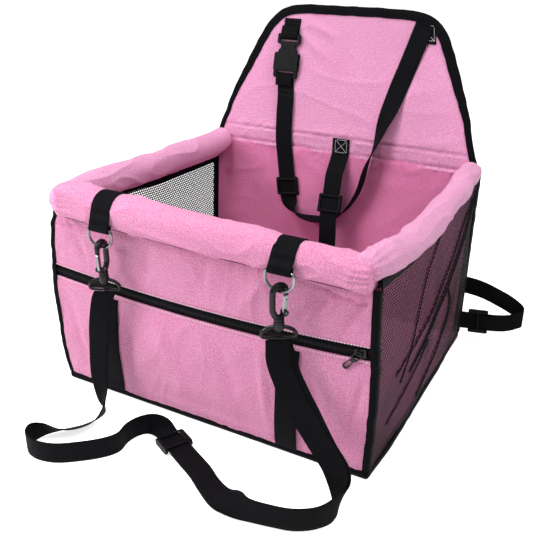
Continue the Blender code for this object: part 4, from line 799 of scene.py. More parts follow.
def back_y(z):
    """Middle of the back, wall and flap, rounded at the fold."""
    soft = 0.006
    apart = z - FOLD[2]
    return wall_y(z) + (FLAP_SLOPE - BACK_SLOPE) * (apart + math.sqrt(apart * apart + soft * soft)) / 2 - 0.0003


def flap_point(x, off, s):
    """Place on the flap: across, in front of its face, along it."""
    lean = math.atan(FLAP_SLOPE)
    depth = -(PAD / 2 + off)
    return Vector((x, FOLD[1] + s * math.sin(lean) + depth * math.cos(lean),
                   FOLD[2] + s * math.cos(lean) - depth * math.sin(lean)))


def wall_point(x, off, z):
    """Place before the back panel's face."""
    return Vector((x, wall_y(z) - PAD / 2 - off, z))


# The cloth box

class SEAT_OT_front(bpy.types.Operator):
    """Make the front panel, the pocket under the zip and the lining behind them"""
    bl_idname = "dog_seat.front"
    bl_label = "Front and pocket"

    def execute(self, context):
        thick = settings().cloth.thickness
        reach = SIDE_X - 0.0004

        def spread(u, z):
            left, right = corner_x(-1, z) + 0.0016, corner_x(1, z) - 0.0016
            return left + (right - left) * u

        def upper(u, v):
            flat = reach * (2 * u - 1)
            low, high = zip_z(flat) + 0.007, seam_z(flat) + 0.004 - 0.008 * ease(0.188, 0.198, abs(flat))
            z = low + (high - low) * v
            x = spread(u, z)
            turn_in = 0.0016 * ease(0.06, 0.0, v)
            return Vector((x, front_face(x, z) + turn_in, z))

        sheet("front_cloth", 200, 40, upper, (2 * reach, 0.072), thick, "pink_cloth", "cloth", "front_panel")

        def lower(u, v):
            flat = reach * (2 * u - 1)
            low, high = 0.004, zip_z(flat) - 0.007
            z = low + (high - low) * v
            x = spread(u, z)
            turn_in = 0.0016 * ease(0.95, 1.0, v)
            return Vector((x, pocket_face(x, z) + turn_in, z))

        sheet("pocket_cloth", 200, 66, lower, (2 * reach, 0.13), thick, "pink_cloth", "cloth", "pocket_panel")

        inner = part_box("front_lining")

        def lining(u, v):
            x = inner[1].x * (1 - 2 * u)
            z = inner[0].z + (inner[1].z + 0.004 - inner[0].z) * v
            y = inner[1].y + 0.0004 + folds(x, z, 9.1, 0.03, 0.001, 1.4) + ripple(x, z, 4.0, 0.05, 0.0012)
            return Vector((x, y, z))

        # The lining takes the shaded copy of the cloth: painted shade.
        sheet("front_inner_cloth", 110, 60, lining, (2 * inner[1].x, inner[1].z), 0.0012, "inner_cloth",
              "lining", "front_lining")
        return {"FINISHED"}


class SEAT_OT_base(bpy.types.Operator):
    """Make the base cloth and the cloth-covered board"""
    bl_idname = "dog_seat.base"
    bl_label = "Base"

    def execute(self, context):
        low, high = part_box("base_panel")

        def under(u, v):
            x = low.x + (high.x - low.x) * u
            y = high.y + (low.y - high.y) * v
            rise = 0.0004 + abs(ripple(x, y, 1.0, 0.05, 0.0006)) * ease(0.0, 0.02, min(u, v, 1 - u, 1 - v))
            return Vector((x, y, rise))

        sheet("base_cloth", 80, 68, under, (high.x - low.x, high.y - low.y), 0.0022, "pink_cloth", "cloth",
              "base_panel")
        low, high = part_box("base_board")

        def top(u, v):
            x = low.x + (high.x - low.x) * u
            y = low.y + (high.y - low.y) * v
            edge = ease(0.0, 0.015, min(u, v, 1 - u, 1 - v))
            return Vector((x, y, high.z - 0.0012 * (1 - edge) + ripple(x, y, 2.0, 0.04, 0.0007) * edge))

        # The board takes the shaded copy of the cloth: painted shade.
        sheet("board_cover", 80, 66, top, (high.x - low.x, high.y - low.y), high.z - low.z - 0.0014,
              "inner_cloth", "lining", "base_board")
        return {"FINISHED"}


class SEAT_OT_rim(bpy.types.Operator):
    """Make the three padded rolls of the rim"""
    bl_idname = "dog_seat.rim"
    bl_label = "Rim rolls"

    def execute(self, context):
        first, last = ROLL_ENDS

        def front(u, v):
            x = first + (last - first) * v
            angle = -math.pi / 2 + 2 * math.pi * u
            y, z = roll_centre(x)
            radius = roll_radius(x)
            inset = min(x - first, last - x)
            closing = (1 - (1 - min(1.0, inset / 0.009)) ** 4.5) ** (1 / 4.5) if inset > 1e-6 else 0.0
            around = angle * radius
            gather = ease(0.045, 0.004, inset)
            rough = folds(x, around, 1.5, 0.02, 0.0016, 0.0, 0.35) + ripple(x, around, 2.5, 0.04, 0.0008)
            pleat = math.sin(angle * 15 + 5 * noise.noise(Vector((x * 25, angle, 1.0))))
            rough -= 0.0017 * gather * (0.5 + 0.5 * pleat)
            loop = bell(x, -RING_X, 0.016) + bell(x, RING_X, 0.016)
            rough *= (1 - 0.75 * min(1.0, loop)) * ease(0.0, 0.08, min(u, 1 - u))
            rough *= 1 - 0.8 * bell(angle, 4.29, 0.16)
            square = 1.0
            if angle > math.pi / 2:
                power = 3.6 if angle > math.pi else 2.0 + 5.0 * ease(0.05, 0.0, x - first)
                square = (abs(math.cos(angle)) ** power + abs(math.sin(angle)) ** power) ** (-1 / power)
                square *= 1 - 0.1 * ease(3.6, 4.6, angle)
            radius = (radius + rough) * closing * square
            lean = 0.0012 * ease(0.03, 0.0, x - first) * (math.sin(angle) + 0.3)
            return Vector((x + lean, y + radius * math.cos(angle), z + radius * math.sin(angle) * 0.98))

        roll = grid("front_roll", 80, 240, front, (0.119, last - first))
        weld(roll)
        dress(roll, "pink_cloth", "carrier", "cloth", "front_rim_roll", angle=70.0)
        start, end = -0.1765, 0.1815
        for side, name in SIDES:
            def roll_place(u, v):
                y = start + (end - start) * v
                x, z, radius = side_roll(side, y)
                turn = -math.pi / 2 - 2 * math.pi * u
                around = turn * radius
                rough = folds(y, around, 3.5 + side, 0.022, 0.0017, 0.0, 0.35)
                rough += ripple(y, around, 4.5 + side, 0.045, 0.0011)
                pleat = math.sin(turn * 13 + 4 * noise.noise(Vector((y * 25, turn, 2.0))))
                rough -= 0.0015 * ease(-0.12, -0.165, y) * (0.5 + 0.5 * pleat)
                rough *= ease(0.0, 0.08, min(u, 1 - u))
                inset = min(y - start, end - y)
                closing = (1 - (1 - min(1.0, inset / 0.01)) ** 2.6) ** (1 / 2.6) if inset > 1e-6 else 0.0
                radius = (radius + rough) * closing
                return Vector((x + radius * math.cos(turn), y, z + radius * math.sin(turn)))

            obj = grid(f"{name}_roll", 72, 190, roll_place, (0.1, end - start))
            weld(obj)
            # The side rolls take the paler lit copy of the cloth: painted light.
            dress(obj, "pale_cloth", "carrier", "cloth", f"{name}_rim_roll", angle=70.0)
        return {"FINISHED"}


def net_x(side, y, z):
    """Side wall's bulge."""
    swell = 0.003 * math.sin(math.pi * clipped(z / 0.2)) * math.sin(math.pi * clipped((y + 0.168) / 0.34))
    swell += ripple(y, z, 7.0 + side, 0.06, 0.0018)
    near = ease(-0.06, -0.168, y)
    low = base_out(y) * ease(0.06, 0.0, z) * (1 - near) if side > 0 else 0.0
    return side * (SIDE_X - 0.0006 + swell) + near * (corner_x(side, z) - side * SIDE_X) + low


def tape_low(side, y):
    """Lower edge of the tape under a side roll."""
    if side < 0:
        return between(y, (-0.168, -0.055, 0.06, 0.182), (0.212, 0.2055, 0.1975, 0.1945))
    _, z, radius = side_roll(1, y)
    return z - radius - between(y, (-0.168, -0.1, 0.05, 0.17), (0.004, 0.001, -0.0005, -0.0005))


# Folds of the right mesh, as (depth, height) points and a width
NET_PLEATS = (
    (((0.166, 0.212), (0.15, 0.19), (0.128, 0.162), (0.098, 0.14), (0.05, 0.112), (0, 0.09), (-0.06, 0.07)),
     0.017),
    (((0.15, 0.208), (0.12, 0.186), (0.088, 0.16), (0.05, 0.136), (0.006, 0.116), (-0.05, 0.1), (-0.11, 0.094)),
     0.009),
    (((0.02, 0.205), (-0.01, 0.184), (-0.03, 0.16), (-0.045, 0.13), (-0.062, 0.1), (-0.09, 0.074)), 0.0065),
    (((0.07, 0.12), (0.084, 0.096), (0.08, 0.07), (0.05, 0.046), (0.01, 0.03), (-0.03, 0.022)), 0.011),
    (((0.005, 0.08), (-0.04, 0.06), (-0.08, 0.05), (-0.13, 0.046)), 0.006),
)


def knit(obj, strand):
    """Turn the edges of a sheet into strands."""
    modify(obj, "WIREFRAME", thickness=strand, use_even_offset=False, use_boundary=True, use_replace=True,
           offset=0.0)


class SEAT_OT_nets(bpy.types.Operator):
    """Make the knitted mesh walls, with folds in the right one"""
    bl_idname = "dog_seat.nets"
    bl_label = "Mesh walls"

    def execute(self, context):
        values = settings().net
        length, height = 0.332, 0.204
        columns = 2 * round(length / values.pitch)
        rows = round(height / (values.pitch * 0.866))
        for side, name in SIDES:
            def flat(u, v):
                return Vector((u * length, v * height, 0.0))

            net = grid(f"{name}_net", columns, rows, flat, (length, height))
            only(net)
            bpy.ops.object.mode_set(mode="EDIT")
            bpy.ops.mesh.select_all(action="DESELECT")
            bpy.ops.object.mode_set(mode="OBJECT")
            points = net.data.vertices
            for edge in net.data.edges:
                a, b = (points[i].co for i in edge.vertices)
                if abs(a.x - b.x) < 1e-6:
                    column = round(a.x / length * columns)
                    row = round(min(a.y, b.y) / height * rows)
                    edge.select = 0 < column < columns and (column + row) % 2 == 1
            context.tool_settings.mesh_select_mode = (False, True, False)
            bpy.ops.object.mode_set(mode="EDIT")
            bpy.ops.mesh.dissolve_edges(use_verts=False, use_face_split=False)
            bpy.ops.object.mode_set(mode="OBJECT")
            context.tool_settings.mesh_select_mode = (True, False, False)
            for point in net.data.vertices:
                column, row = round(point.co.x / length * columns), round(point.co.y / height * rows)
                if 0 < row < rows:
                    point.co.y += (1 / 6 if (column + row) % 2 == 0 else -1 / 6) / rows * height
            knit(net, values.strand)
            for point in net.data.vertices:
                along = point.co.x / length if side > 0 else 1 - point.co.x / length
                y = FRONT_Y + 0.0026 + 0.3355 * along
                top = tape_low(side, y) + 0.004
                z = 0.0045 + (top - 0.0045) * point.co.y / height
                y = FRONT_Y + 0.0026 + (wall_y(z) - PAD / 2 - 0.0032 - FRONT_Y) * along
                point.co = (net_x(side, y, z) + side * point.co.z * 0.25, y, z)
            if side > 0:
                strips = []
                for i, (line, wide) in enumerate(NET_PLEATS):
                    places = smooth([Vector((0.0, y, z)) for y, z in line], 2)
                    places = smooth(places, max(1, round(measured(places)[-1] / 0.0021 / (len(places) - 1))))

                    def strip(u, v):
                        k = round(v * (len(places) - 1))
                        before, after = places[max(0, k - 1)], places[min(len(places) - 1, k + 1)]
                        way = (after - before).normalized()
                        across = Vector((0.0, -way.z, way.y))
                        narrow = wide * (0.35 + 0.65 * math.sin(math.pi * clipped(v)))
                        at = places[k] + across * narrow * (u - 0.5)
                        lift = 0.0012 * math.sin(math.pi * u)
                        return Vector((net_x(side, at.y, at.z) + 0.0008 + lift, at.y, at.z))

                    pleat = grid(f"pleat_{i}", max(2, round(wide / 0.0021)), len(places) - 1, strip, (wide, 0.2))
                    knit(pleat, 0.0007)
                    strips.append(pleat)
                dress(joined(strips, "right_net_folds"), "net_thread", "carrier", "netting", angle=40.0)
            dress(net, "net_thread", "carrier", "netting", f"{name}_mesh_panel", angle=40.0)
        return {"FINISHED"}


class SEAT_OT_back(bpy.types.Operator):
    """Make the back panel and the flap that folds at its top"""
    bl_idname = "dog_seat.back"
    bl_label = "Back and flap"

    def execute(self, context):
        half = 0.1972
        def back(u, v):
            x = half * (2 * u - 1)
            z = 0.0042 + (WALL_SEAM - 0.0042) * v
            rough = folds(x, z, 12.0, 0.05, 0.0009, 0.15) + ripple(x, z, 13.0, 0.08, 0.0018)
            pull = folds(x, z, 14.0, 0.012, 0.0016, 1.5) * ease(0.195, 0.232, z)
            inward = (rough + pull) * ease(0.0, 0.05, v) * ease(0.196, 0.18, abs(x))
            dip = 0.0014 * ease(0.985, 1.0, v)
            return Vector((x, wall_y(z) - PAD / 2 - inward + dip - 0.001 * math.sin(math.pi * v), z))

        # The back wall takes the shaded copy of the cloth: painted shade.
        wall = sheet("back_cloth", 130, 80, back, (2 * half, WALL_SEAM), PAD - 0.0004, "inner_cloth", "cloth",
                     "back_panel")

        def flap(u, v):
            z = WALL_SEAM - 0.004 + (0.421 - WALL_SEAM) * (1 - (1 - v) ** 1.25)
            wide = flap_half(z) - 0.0006
            x = wide * (2 * u - 1)
            crown = 0.0012 * math.cos(math.pi * x / 0.22) * ease(0.395, 0.417, z)
            rough = folds(x, z, 22.0, 0.05, 0.0008, 0.1) + ripple(x, z, 23.0, 0.09, 0.0016)
            seams = bell(z, FOLD_SEAMS[1], 0.0016) + bell(z, FOLD_SEAMS[0], 0.0016)
            near = max(bell(z, FOLD_SEAMS[1], 0.012), bell(z, FOLD_SEAMS[0], 0.012))
            pull = folds(x, z, 24.0, 0.01, 0.0015, 1.5) * near
            stub = crease(x, z, (-0.075, 0.402, -0.02, 0.38, 0.006, 0.002))
            stub += crease(x, z, (-0.078, 0.385, -0.03, 0.352, 0.006, 0.0016))
            edge = ease(0.01, 0.03, min(wide - abs(x), 0.417 - z))
            inward = (rough + pull + stub) * edge * (1 - 0.8 * min(1.0, seams))
            dip = 0.0015 * min(1.0, seams)
            return Vector((x, back_y(z) - PAD / 2 - inward + dip, z + crown))

        # The flap takes the paler lit copy of the cloth: painted light.
        cover = sheet("flap_cloth", 150, 110, flap, (0.36, 0.19), PAD - 0.0004, "pale_cloth", "cloth",
                      "flap_panel", body=None)
        across_fold(cover)
        return {"FINISHED"}


# Profiles of the tapes, as (outward or across, deep or up); U_FOLD goes round an edge
U_FOLD = ((-0.0105, -0.003), (-0.006, -0.0034), (-0.0005, -0.0036), (0.0012, -0.0026), (0.002, -0.001),
          (0.002, 0.001), (0.0012, 0.0026), (-0.0005, 0.0036), (-0.006, 0.0034), (-0.0105, 0.003))
INNER_TAPE = ((-0.0045, 0.0004), (-0.001, 0.001), (0.0002, 0.005))
TOP_TAPE = ((-0.0034, 0), (0.0008, -0.0006), (0.001, 0.006), (-0.002, 0.0125), (-0.008, 0.015),
            (-0.0095, 0.014), (-0.0046, 0.011), (-0.0036, 0.006), (-0.0044, 0))
BASE_TAPE = ((-0.008, 0.0012), (-0.0016, 0.0011), (-0.0004, 0.0021), (0.0004, 0.005), (0.0002, 0.0092),
             (-0.0012, 0.0105))
ZIP_TAPE = ((0.0024, 0.0008), (0.004, 0.0006), (0.007, 0), (0.0115, -0.0004))


def base_outline(x, y, radius):
    """Outline of a rounded rectangle, from its right rear corner clockwise: places with their outward angle."""
    corners = ((x, y), (x, -y), (-x, -y), (-x, y))
    centres = [(cx - math.copysign(radius, cx), cy - math.copysign(radius, cy)) for cx, cy in corners]
    path = []
    for k, (mx, my) in enumerate(centres):
        start = -math.pi / 2 * k + math.pi / 2
        for angle in steps(start, -math.pi / 2, 6):
            path.append(((mx + radius * math.cos(angle), my + radius * math.sin(angle)), angle))
        last = start - math.pi / 2
        nx, ny = centres[(k + 1) % 4]
        end = (mx + radius * math.cos(last), my + radius * math.sin(last))
        far = (nx + radius * math.cos(last), ny + radius * math.sin(last))
        for place in list(zip(steps(end[0], far[0] - end[0], 60), steps(end[1], far[1] - end[1], 60)))[1:-1]:
            path.append((place, last))
    return path + path[:1]


class SEAT_OT_bindings(bpy.types.Operator):
    """Make the black tape that is folded over the edges"""
    bl_idname = "dog_seat.bindings"
    bl_label = "Bindings"

    def execute(self, context):
        wide = settings().webbing.binding
        corner = ((-wide * 0.68, 0.0), (-wide * 0.4, -0.0006), (-0.0022, -0.0008), (-0.0004, 0.0002),
                  (0.0008, 0.0024), (0.0006, wide * 0.6), (0.0, wide))
        inwards, rearwards = Vector((0, -1, 0)), Vector((0, 1, 0))
        for side, name in SIDES:
            outwards = Vector((side, 0, 0))
            rows = []
            for z in steps(TAPE_FOOT, seam_z(side * 0.199) - 0.0095, 60):
                pucker = 0.0006 * noise.noise(Vector((z * 90, side, 3.0)))
                rows.append(((corner_x(side, z) + pucker, FRONT_Y - 0.0014 + pucker, z), outwards, rearwards))
            sweep(f"{name}_front_binding", rows, corner[::side], 0.0011, "carrier", f"binding_front_{name}")
            rows = []
            for z in steps(TAPE_FOOT, 0.235 - TAPE_FOOT, 70):
                pucker = 0.0006 * noise.noise(Vector((z * 90, side, 8.0)))
                rows.append(((side * (SIDE_X + 0.0004) + pucker, wall_y(z) + PAD / 2 + 0.0018 + pucker, z),
                             outwards, inwards))
            sweep(f"{name}_rear_binding", rows, corner[::-side], 0.0011, "carrier", f"binding_rear_{name}")
            rows = [((side * (SIDE_X - 0.0022), wall_y(z) - PAD / 2 - 0.0012, z), outwards, inwards)
                    for z in steps(TAPE_FOOT, 0.212 - TAPE_FOOT, 50)]
            sweep(f"{name}_inner_tape", rows, INNER_TAPE[::side], 0.0008, "carrier")
            rows = []
            start = FRONT_Y + 0.004
            for y in steps(start, 0.17 - start, 60):
                low = tape_low(side, y)
                rows.append((Vector((net_x(side, y, low) + side * 0.001, y, low)), outwards, UP))
            sweep(f"{name}_top_tape", rows, TOP_TAPE[::-side], 0.0006, "carrier", f"{name}_side_band")

        rows = []
        for (px, py), angle in base_outline(SIDE_X + 0.0003, -FRONT_Y + 0.0022, 0.0035):
            out = Vector((math.cos(angle), math.sin(angle), 0.0))
            pucker = 0.0005 * noise.noise(Vector((px * 80, py * 80, 5.0)))
            bow = base_out(py) * ease(0.15, 0.198, px)
            rows.append((Vector((px + bow, py, 0.0)) + out * pucker, out, UP))
        sweep("base_binding", rows, BASE_TAPE, 0.0011, "carrier", "binding_base", closed=True)

        edge = [(flap_half(z), z) for z in [0.24 + 0.0028 * i for i in range(60)] if z < 0.404]
        edge += [(0.1118, 0.4072), (0.1073, 0.41), (0.1015, 0.4125), (0.094, 0.4147), (0.0865, 0.4162),
                 (0.079, 0.4172)]
        edge += [(x / 1000, 0.417 + 0.001 * math.cos(math.pi * x / 220)) for x in range(66, -1, -6)]
        path = edge + [(-x, z) for x, z in edge[::-1][1:]]
        rows = []
        for i, (px, pz) in enumerate(path):
            before, after = path[max(0, i - 1)], path[min(len(path) - 1, i + 1)]
            way = Vector((after[0] - before[0], 0.0, after[1] - before[1])).normalized()
            slope = FLAP_SLOPE if pz > FOLD[2] else BACK_SLOPE
            out = Vector((way.z, 0.0, -way.x)).normalized()
            out = (out + Vector((0.0, out.z * slope, 0.0))).normalized()
            deep = Vector((0.0, 1.0, -slope)).normalized()
            pucker = 0.0007 * noise.noise(Vector((px * 80, pz * 80, 1.0)))
            rows.append((Vector((px, back_y(pz), pz)) + out * pucker,
                         out * between(pz, (0.27, 0.36), (0.62, 1.0)), deep))
        across_fold(sweep("flap_binding_tape", rows, U_FOLD, 0.0011, None, "flap_binding"))
        return {"FINISHED"}


class SEAT_OT_zip(bpy.types.Operator):
    """Make the zip's tapes and its closed teeth"""
    bl_idname = "dog_seat.zip"
    bl_label = "Zip"

    def execute(self, context):
        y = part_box("zipper_tape_upper")[0].y
        left, right = corner_x(-1, zip_z(0.2)) + 0.002, corner_x(1, zip_z(0.2)) - 0.002
        for side, name in ((1, "upper"), (-1, "lower")):
            rows = [((x, y, zip_z(x)), Vector((0, 0, side)), Vector((0, -1, 0)))
                    for x in steps(left, right - left, 140)]
            sweep(f"{name}_zip_tape", rows, ZIP_TAPE, 0.0007, "carrier", f"zipper_tape_{name}", offset=0.0)
        bpy.ops.object.select_all(action="DESELECT")
        bpy.ops.mesh.primitive_cylinder_add(vertices=8, radius=0.0009, depth=0.005)
        tooth = context.object
        only(tooth)
        bpy.ops.object.mode_set(mode="EDIT")
        bpy.ops.mesh.select_all(action="SELECT")
        bpy.ops.mesh.bevel(offset=0.0002, segments=1)
        bpy.ops.object.mode_set(mode="OBJECT")
        tooth.data.transform(Matrix.Diagonal((0.62, 1.25, 1.0, 1.0)))
        reach, pitch = 0.178 - left, 0.00155
        follow(tooth, [(x, y - 0.0003, zip_z(x)) for x in steps(left, reach, 100)], int(reach / pitch), pitch)
        tooth.name = tooth.data.name = "zip_teeth"
        dress(tooth, "teeth_plastic", "carrier", "resin", "zipper_teeth")
        return {"FINISHED"}


# Routes of the webbing, traced in the photograph where it shows them: (place, width direction). The stub and
# the headrest loop have (off the flap's face, along it), the tether's bend has (depth, height).

HEADREST_ROUTE = (
    ((-0.085, 0.1852, 0.2991), (1, 0, -0.05)), ((-0.083, 0.1777, 0.2691), (1, 0, 0.04)),
    ((-0.081, 0.1733, 0.24), (1, 0, 0.08)), ((-0.0775, 0.1719, 0.215), (1, 0, 0.15)),
    ((-0.0745, 0.1707, 0.195), (1, 0, 0.15)), ((-0.0715, 0.1695, 0.175), (1, 0, 0.15)),
    ((-0.0685, 0.1684, 0.155), (1, 0, 0.15)), ((-0.062, 0.1633, 0.144), (0.8, -0.6, 0.35)),
    ((-0.048, 0.1582, 0.1385), (0.4, -1, 0.25)), ((-0.025, 0.158, 0.137), (0.05, -1, 0)),
    ((-0.002, 0.1582, 0.1405), (0, -1, 0)), ((0.021, 0.1588, 0.154), (0, -1, 0)),
    ((0.041, 0.1601, 0.186), (0, -1, 0)), ((0.05, 0.1618, 0.223), (0.1, -1, 0)),
    ((0.058, 0.166, 0.25), (0.35, -0.9, -0.1)), ((0.064, 0.1744, 0.2781), (0.75, -0.65, -0.22)),
    ((0.0705, 0.1846, 0.3013), (0.92, -0.27, -0.28)), ((0.077, 0.1943, 0.3268), (0.95, -0.0679, -0.2716)),
    ((0.087, 0.203, 0.3614), (0.95, -0.0679, -0.2716)), ((0.0965, 0.2112, 0.3964), (0.95, -0.0679, -0.2716)),
    ((0.0986, 0.2132, 0.4048), (0.95, -0.0679, -0.2716)),
)
TETHER_ROUTE = (
    ((0.006, 0.1771, 0.2525), (1, 0, 0)), ((0.006, 0.1765, 0.241), (1, 0, 0)),
    ((0.006, 0.1751, 0.231), (1, 0, 0)), ((0.0055, 0.1701, 0.221), (1, 0, 0)),
    ((0.0045, 0.161, 0.206), (1, 0, 0)), ((0.0051, 0.1553, 0.191), (1, 0, 0)),
    ((0.0057, 0.1496, 0.176), (1, 0, 0)), ((0.0063, 0.1439, 0.161), (1, 0, 0)),
    ((0.007, 0.1393, 0.146), (1, 0, 0)), ((0.009, 0.136, 0.128), (1, 0, 0)), ((0.009, 0.1345, 0.1), (1, 0, 0)),
    ((0.009, 0.1345, 0.084), (1, 0, 0)),
)
SHOULDER_LEFT = (
    ((-0.108, -0.1909, 0.1513), (0.9272, 0.3746, 0)), ((-0.1125, -0.1925, 0.14), (0.9272, 0.3746, 0)),
    ((-0.1195, -0.194, 0.108), (1, 0.2, 0)), ((-0.121, -0.1965, 0.08), (1, 0.1, 0)),
    ((-0.12, -0.201, 0.05), (0.9, 0.1, 0.35)), ((-0.113, -0.2065, 0.027), (0.6, 0.1, 0.8)),
    ((-0.104, -0.215, 0.015), (0.42, -0.5, 0.75)), ((-0.103, -0.229, 0.0082), (0.43, -0.78, 0.5)),
    ((-0.11, -0.248, 0.0072), (0.43, -0.78, 0.47)), ((-0.122, -0.264, 0.009), (0.4, -0.72, 0.58)),
    ((-0.137, -0.276, 0.0122), (0.2, -0.38, 0.9)), ((-0.144, -0.29, 0.0128), (0, 0, 1)),
    ((-0.137, -0.303, 0.0128), (0, 0, 1)), ((-0.119, -0.308, 0.0128), (0, 0, 1)),
    ((-0.098, -0.303, 0.0128), (0, 0, 1)), ((-0.079, -0.29, 0.0128), (0, 0, 1)),
    ((-0.06, -0.272, 0.0128), (0, 0, 1)), ((-0.051, -0.256, 0.0128), (0, 0, 1)),
    ((-0.053, -0.239, 0.0128), (0, 0, 1)), ((-0.05, -0.224, 0.0128), (0.05, 0.1, 1)),
    ((-0.042, -0.2125, 0.0122), (0.15, 0.3, 0.9)), ((-0.0325, -0.207, 0.0085), (0.38, 0.72, 0.55)),
    ((-0.0225, -0.2092, 0.005), (0.462, 0.887, 0)), ((-0.0055, -0.218, 0.005), (0.462, 0.887, 0)),
    ((0.0069, -0.2245, 0.005), (0.462, 0.887, 0)),
)
SHOULDER_RIGHT = (
    ((0.0072, -0.2246, 0.005), (0.462, 0.887, 0)), ((0.0267, -0.2348, 0.005), (0.462, 0.887, 0)),
    ((0.0462, -0.2449, 0.005), (0.462, 0.887, 0)), ((0.0652, -0.2575, 0.005), (0.462, 0.887, 0)),
    ((0.086, -0.27, 0.007), (0.42, 0.85, 0.25)), ((0.104, -0.2765, 0.012), (0.3, 0.6, 0.7)),
    ((0.124, -0.2795, 0.014), (0.02, 0.1, 1)), ((0.145, -0.275, 0.0128), (0, 0, 1)),
    ((0.167, -0.269, 0.0128), (0, 0, 1)), ((0.185, -0.256, 0.0128), (0, 0, 1)),
    ((0.195, -0.239, 0.0145), (-0.05, 0, 1)), ((0.1945, -0.225, 0.023), (0.5, 0.1, 0.85)),
    ((0.1845, -0.2165, 0.042), (0.82, 0.2, 0.52)), ((0.1665, -0.211, 0.06), (0.85, 0.25, 0.36)),
    ((0.146, -0.2045, 0.082), (0.85, 0.35, 0.3)), ((0.1275, -0.199, 0.105), (0.85, 0.42, 0.12)),
    ((0.114, -0.1945, 0.128), (0.8572, 0.515, 0)), ((0.108, -0.1909, 0.1513), (0.8572, 0.515, 0)),
)
REAR_ROUTE = (
    ((0.186, 0.171, 0.025), (0, 0, 1)), ((0.2, 0.1748, 0.0251), (0, 0, 1)), ((0.22, 0.1776, 0.0264), (0, 0, 1)),
    ((0.24, 0.1803, 0.0276), (0, 0, 1)), ((0.257, 0.1832, 0.0305), (0, 0, 1)),
    ((0.27, 0.187, 0.036), (0, 0, 1)), ((0.275, 0.1925, 0.039), (0, 0, 1)),
    ((0.268, 0.1985, 0.0445), (0, 0, 1)), ((0.242, 0.2035, 0.054), (0, 0, 1)),
    ((0.195, 0.2085, 0.062), (0, 0, 1)), ((0.1, 0.2135, 0.055), (0, 0, 1)), ((0, 0.214, 0.05), (0, 0, 1)),
    ((-0.1, 0.2095, 0.05), (0, 0, 1)), ((-0.16, 0.195, 0.05), (0, 0, 1)), ((-0.1925, 0.175, 0.05), (0, 0, 1)),
)
STUB_ROUTE = (
    (0.001, 0.1505), (0.001, 0.1398), (0.002, 0.1293), (0.002, 0.1255), (0.0022, 0.1244), (0.0029, 0.1234),
    (0.0039, 0.1227), (0.005, 0.1225), (0.0061, 0.1227), (0.0071, 0.1234), (0.0078, 0.1244), (0.008, 0.1255),
    (0.008, 0.1293), (0.0065, 0.1398),
)
HEADREST_LOOP = (
    (0.0065, 0.0595), (0.008, 0.07), (0.008, 0.0738), (0.0076, 0.0753), (0.0065, 0.0764), (0.005, 0.0768),
    (0.0035, 0.0764), (0.0024, 0.0753), (0.002, 0.0738), (0.002, 0.07),
)
TETHER_BEND = (
    (0.1345, 0.081), (0.1347, 0.0799), (0.1354, 0.0789), (0.1364, 0.0782), (0.1375, 0.078), (0.1386, 0.0782),
    (0.1396, 0.0789), (0.1403, 0.0799), (0.1405, 0.081), (0.1405, 0.087), (0.1375, 0.095),
)


# Webbing

def loop_rows(x):
    """Loop over the front roll and round the ring's bar."""
    ring_y, ring_z = -0.1909, 0.224
    cy, cz = roll_centre(x)
    around, bight = roll_radius(x) + 0.0012, 0.0027
    gap_y, gap_z = ring_y - cy, ring_z - cz
    apart = math.hypot(gap_y, gap_z)
    leave = math.atan2(gap_z, gap_y) % (2 * math.pi) - math.acos((around - bight) / apart)
    start = math.radians(-40.0)
    points = [(cy + around * math.cos(angle), cz + around * math.sin(angle))
              for angle in steps(start, leave - start, 24)]
    points += [(ring_y + bight * math.cos(angle), ring_z + bight * math.sin(angle))
               for angle in steps(leave, 2 * math.pi - leave, 12)[1:]]
    points.append((points[-1][0] + 0.0004, points[-1][1] + 0.005))
    return [(Vector((x, y, z)), BAND_HALF) for y, z in points]


class SEAT_OT_bands(bpy.types.Operator):
    """Make the loops that hold the rings and the bands sewn on the pocket"""
    bl_idname = "dog_seat.bands"
    bl_label = "Ring loops and pocket bands"

    def execute(self, context):
        for side, name in SIDES:
            ribbon(f"{name}_loop", loop_rows(side * RING_X), "carrier", f"ring_loop_{name}")
        for x, name in ((-0.1225, "left"), (0.108, "right")):
            rows = []
            for z in steps(0.01, 0.1205, 40):
                y = min(pocket_face(x + dx, z) for dx in (-0.01, 0.0, 0.01)) - 0.0011
                rows.append((Vector((x, y, z)), BAND_HALF))
            ribbon(f"{name}_band", rows, "carrier", f"pocket_band_{name}")
        return {"FINISHED"}


class SEAT_OT_straps(bpy.types.Operator):
    """Make the stub, headrest, tether and rear straps"""
    bl_idname = "dog_seat.straps"
    bl_label = "Straps"

    def execute(self, context):
        half = Vector((settings().webbing.width / 2, 0.0, 0.0))
        x = -0.0895
        ribbon("buckle_stub", [(flap_point(x, off, s), half) for off, s in STUB_ROUTE], "flap", "stub_strap")

        rows = [(flap_point(across, 0.0009, s), half)
                for across, s in zip(steps(0.0985, 0.0055, 12), steps(0.156, -0.026, 12))]
        ribbon("headrest_end", rows, "flap")
        rows = [(flap_point(x, off, s), half) for off, s in HEADREST_LOOP] + strap_rows(HEADREST_ROUTE)
        strap = ribbon("headrest_webbing", rows, None, "headrest_strap")
        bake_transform(strap)

        rows = strap_rows(TETHER_ROUTE) + [(Vector((0.009, y, z)), half) for y, z in TETHER_BEND]
        ribbon("tether_webbing", rows, "carrier", "tether_strap")
        ribbon("rear_webbing", strap_rows(REAR_ROUTE), "carrier", "rear_strap")
        return {"FINISHED"}


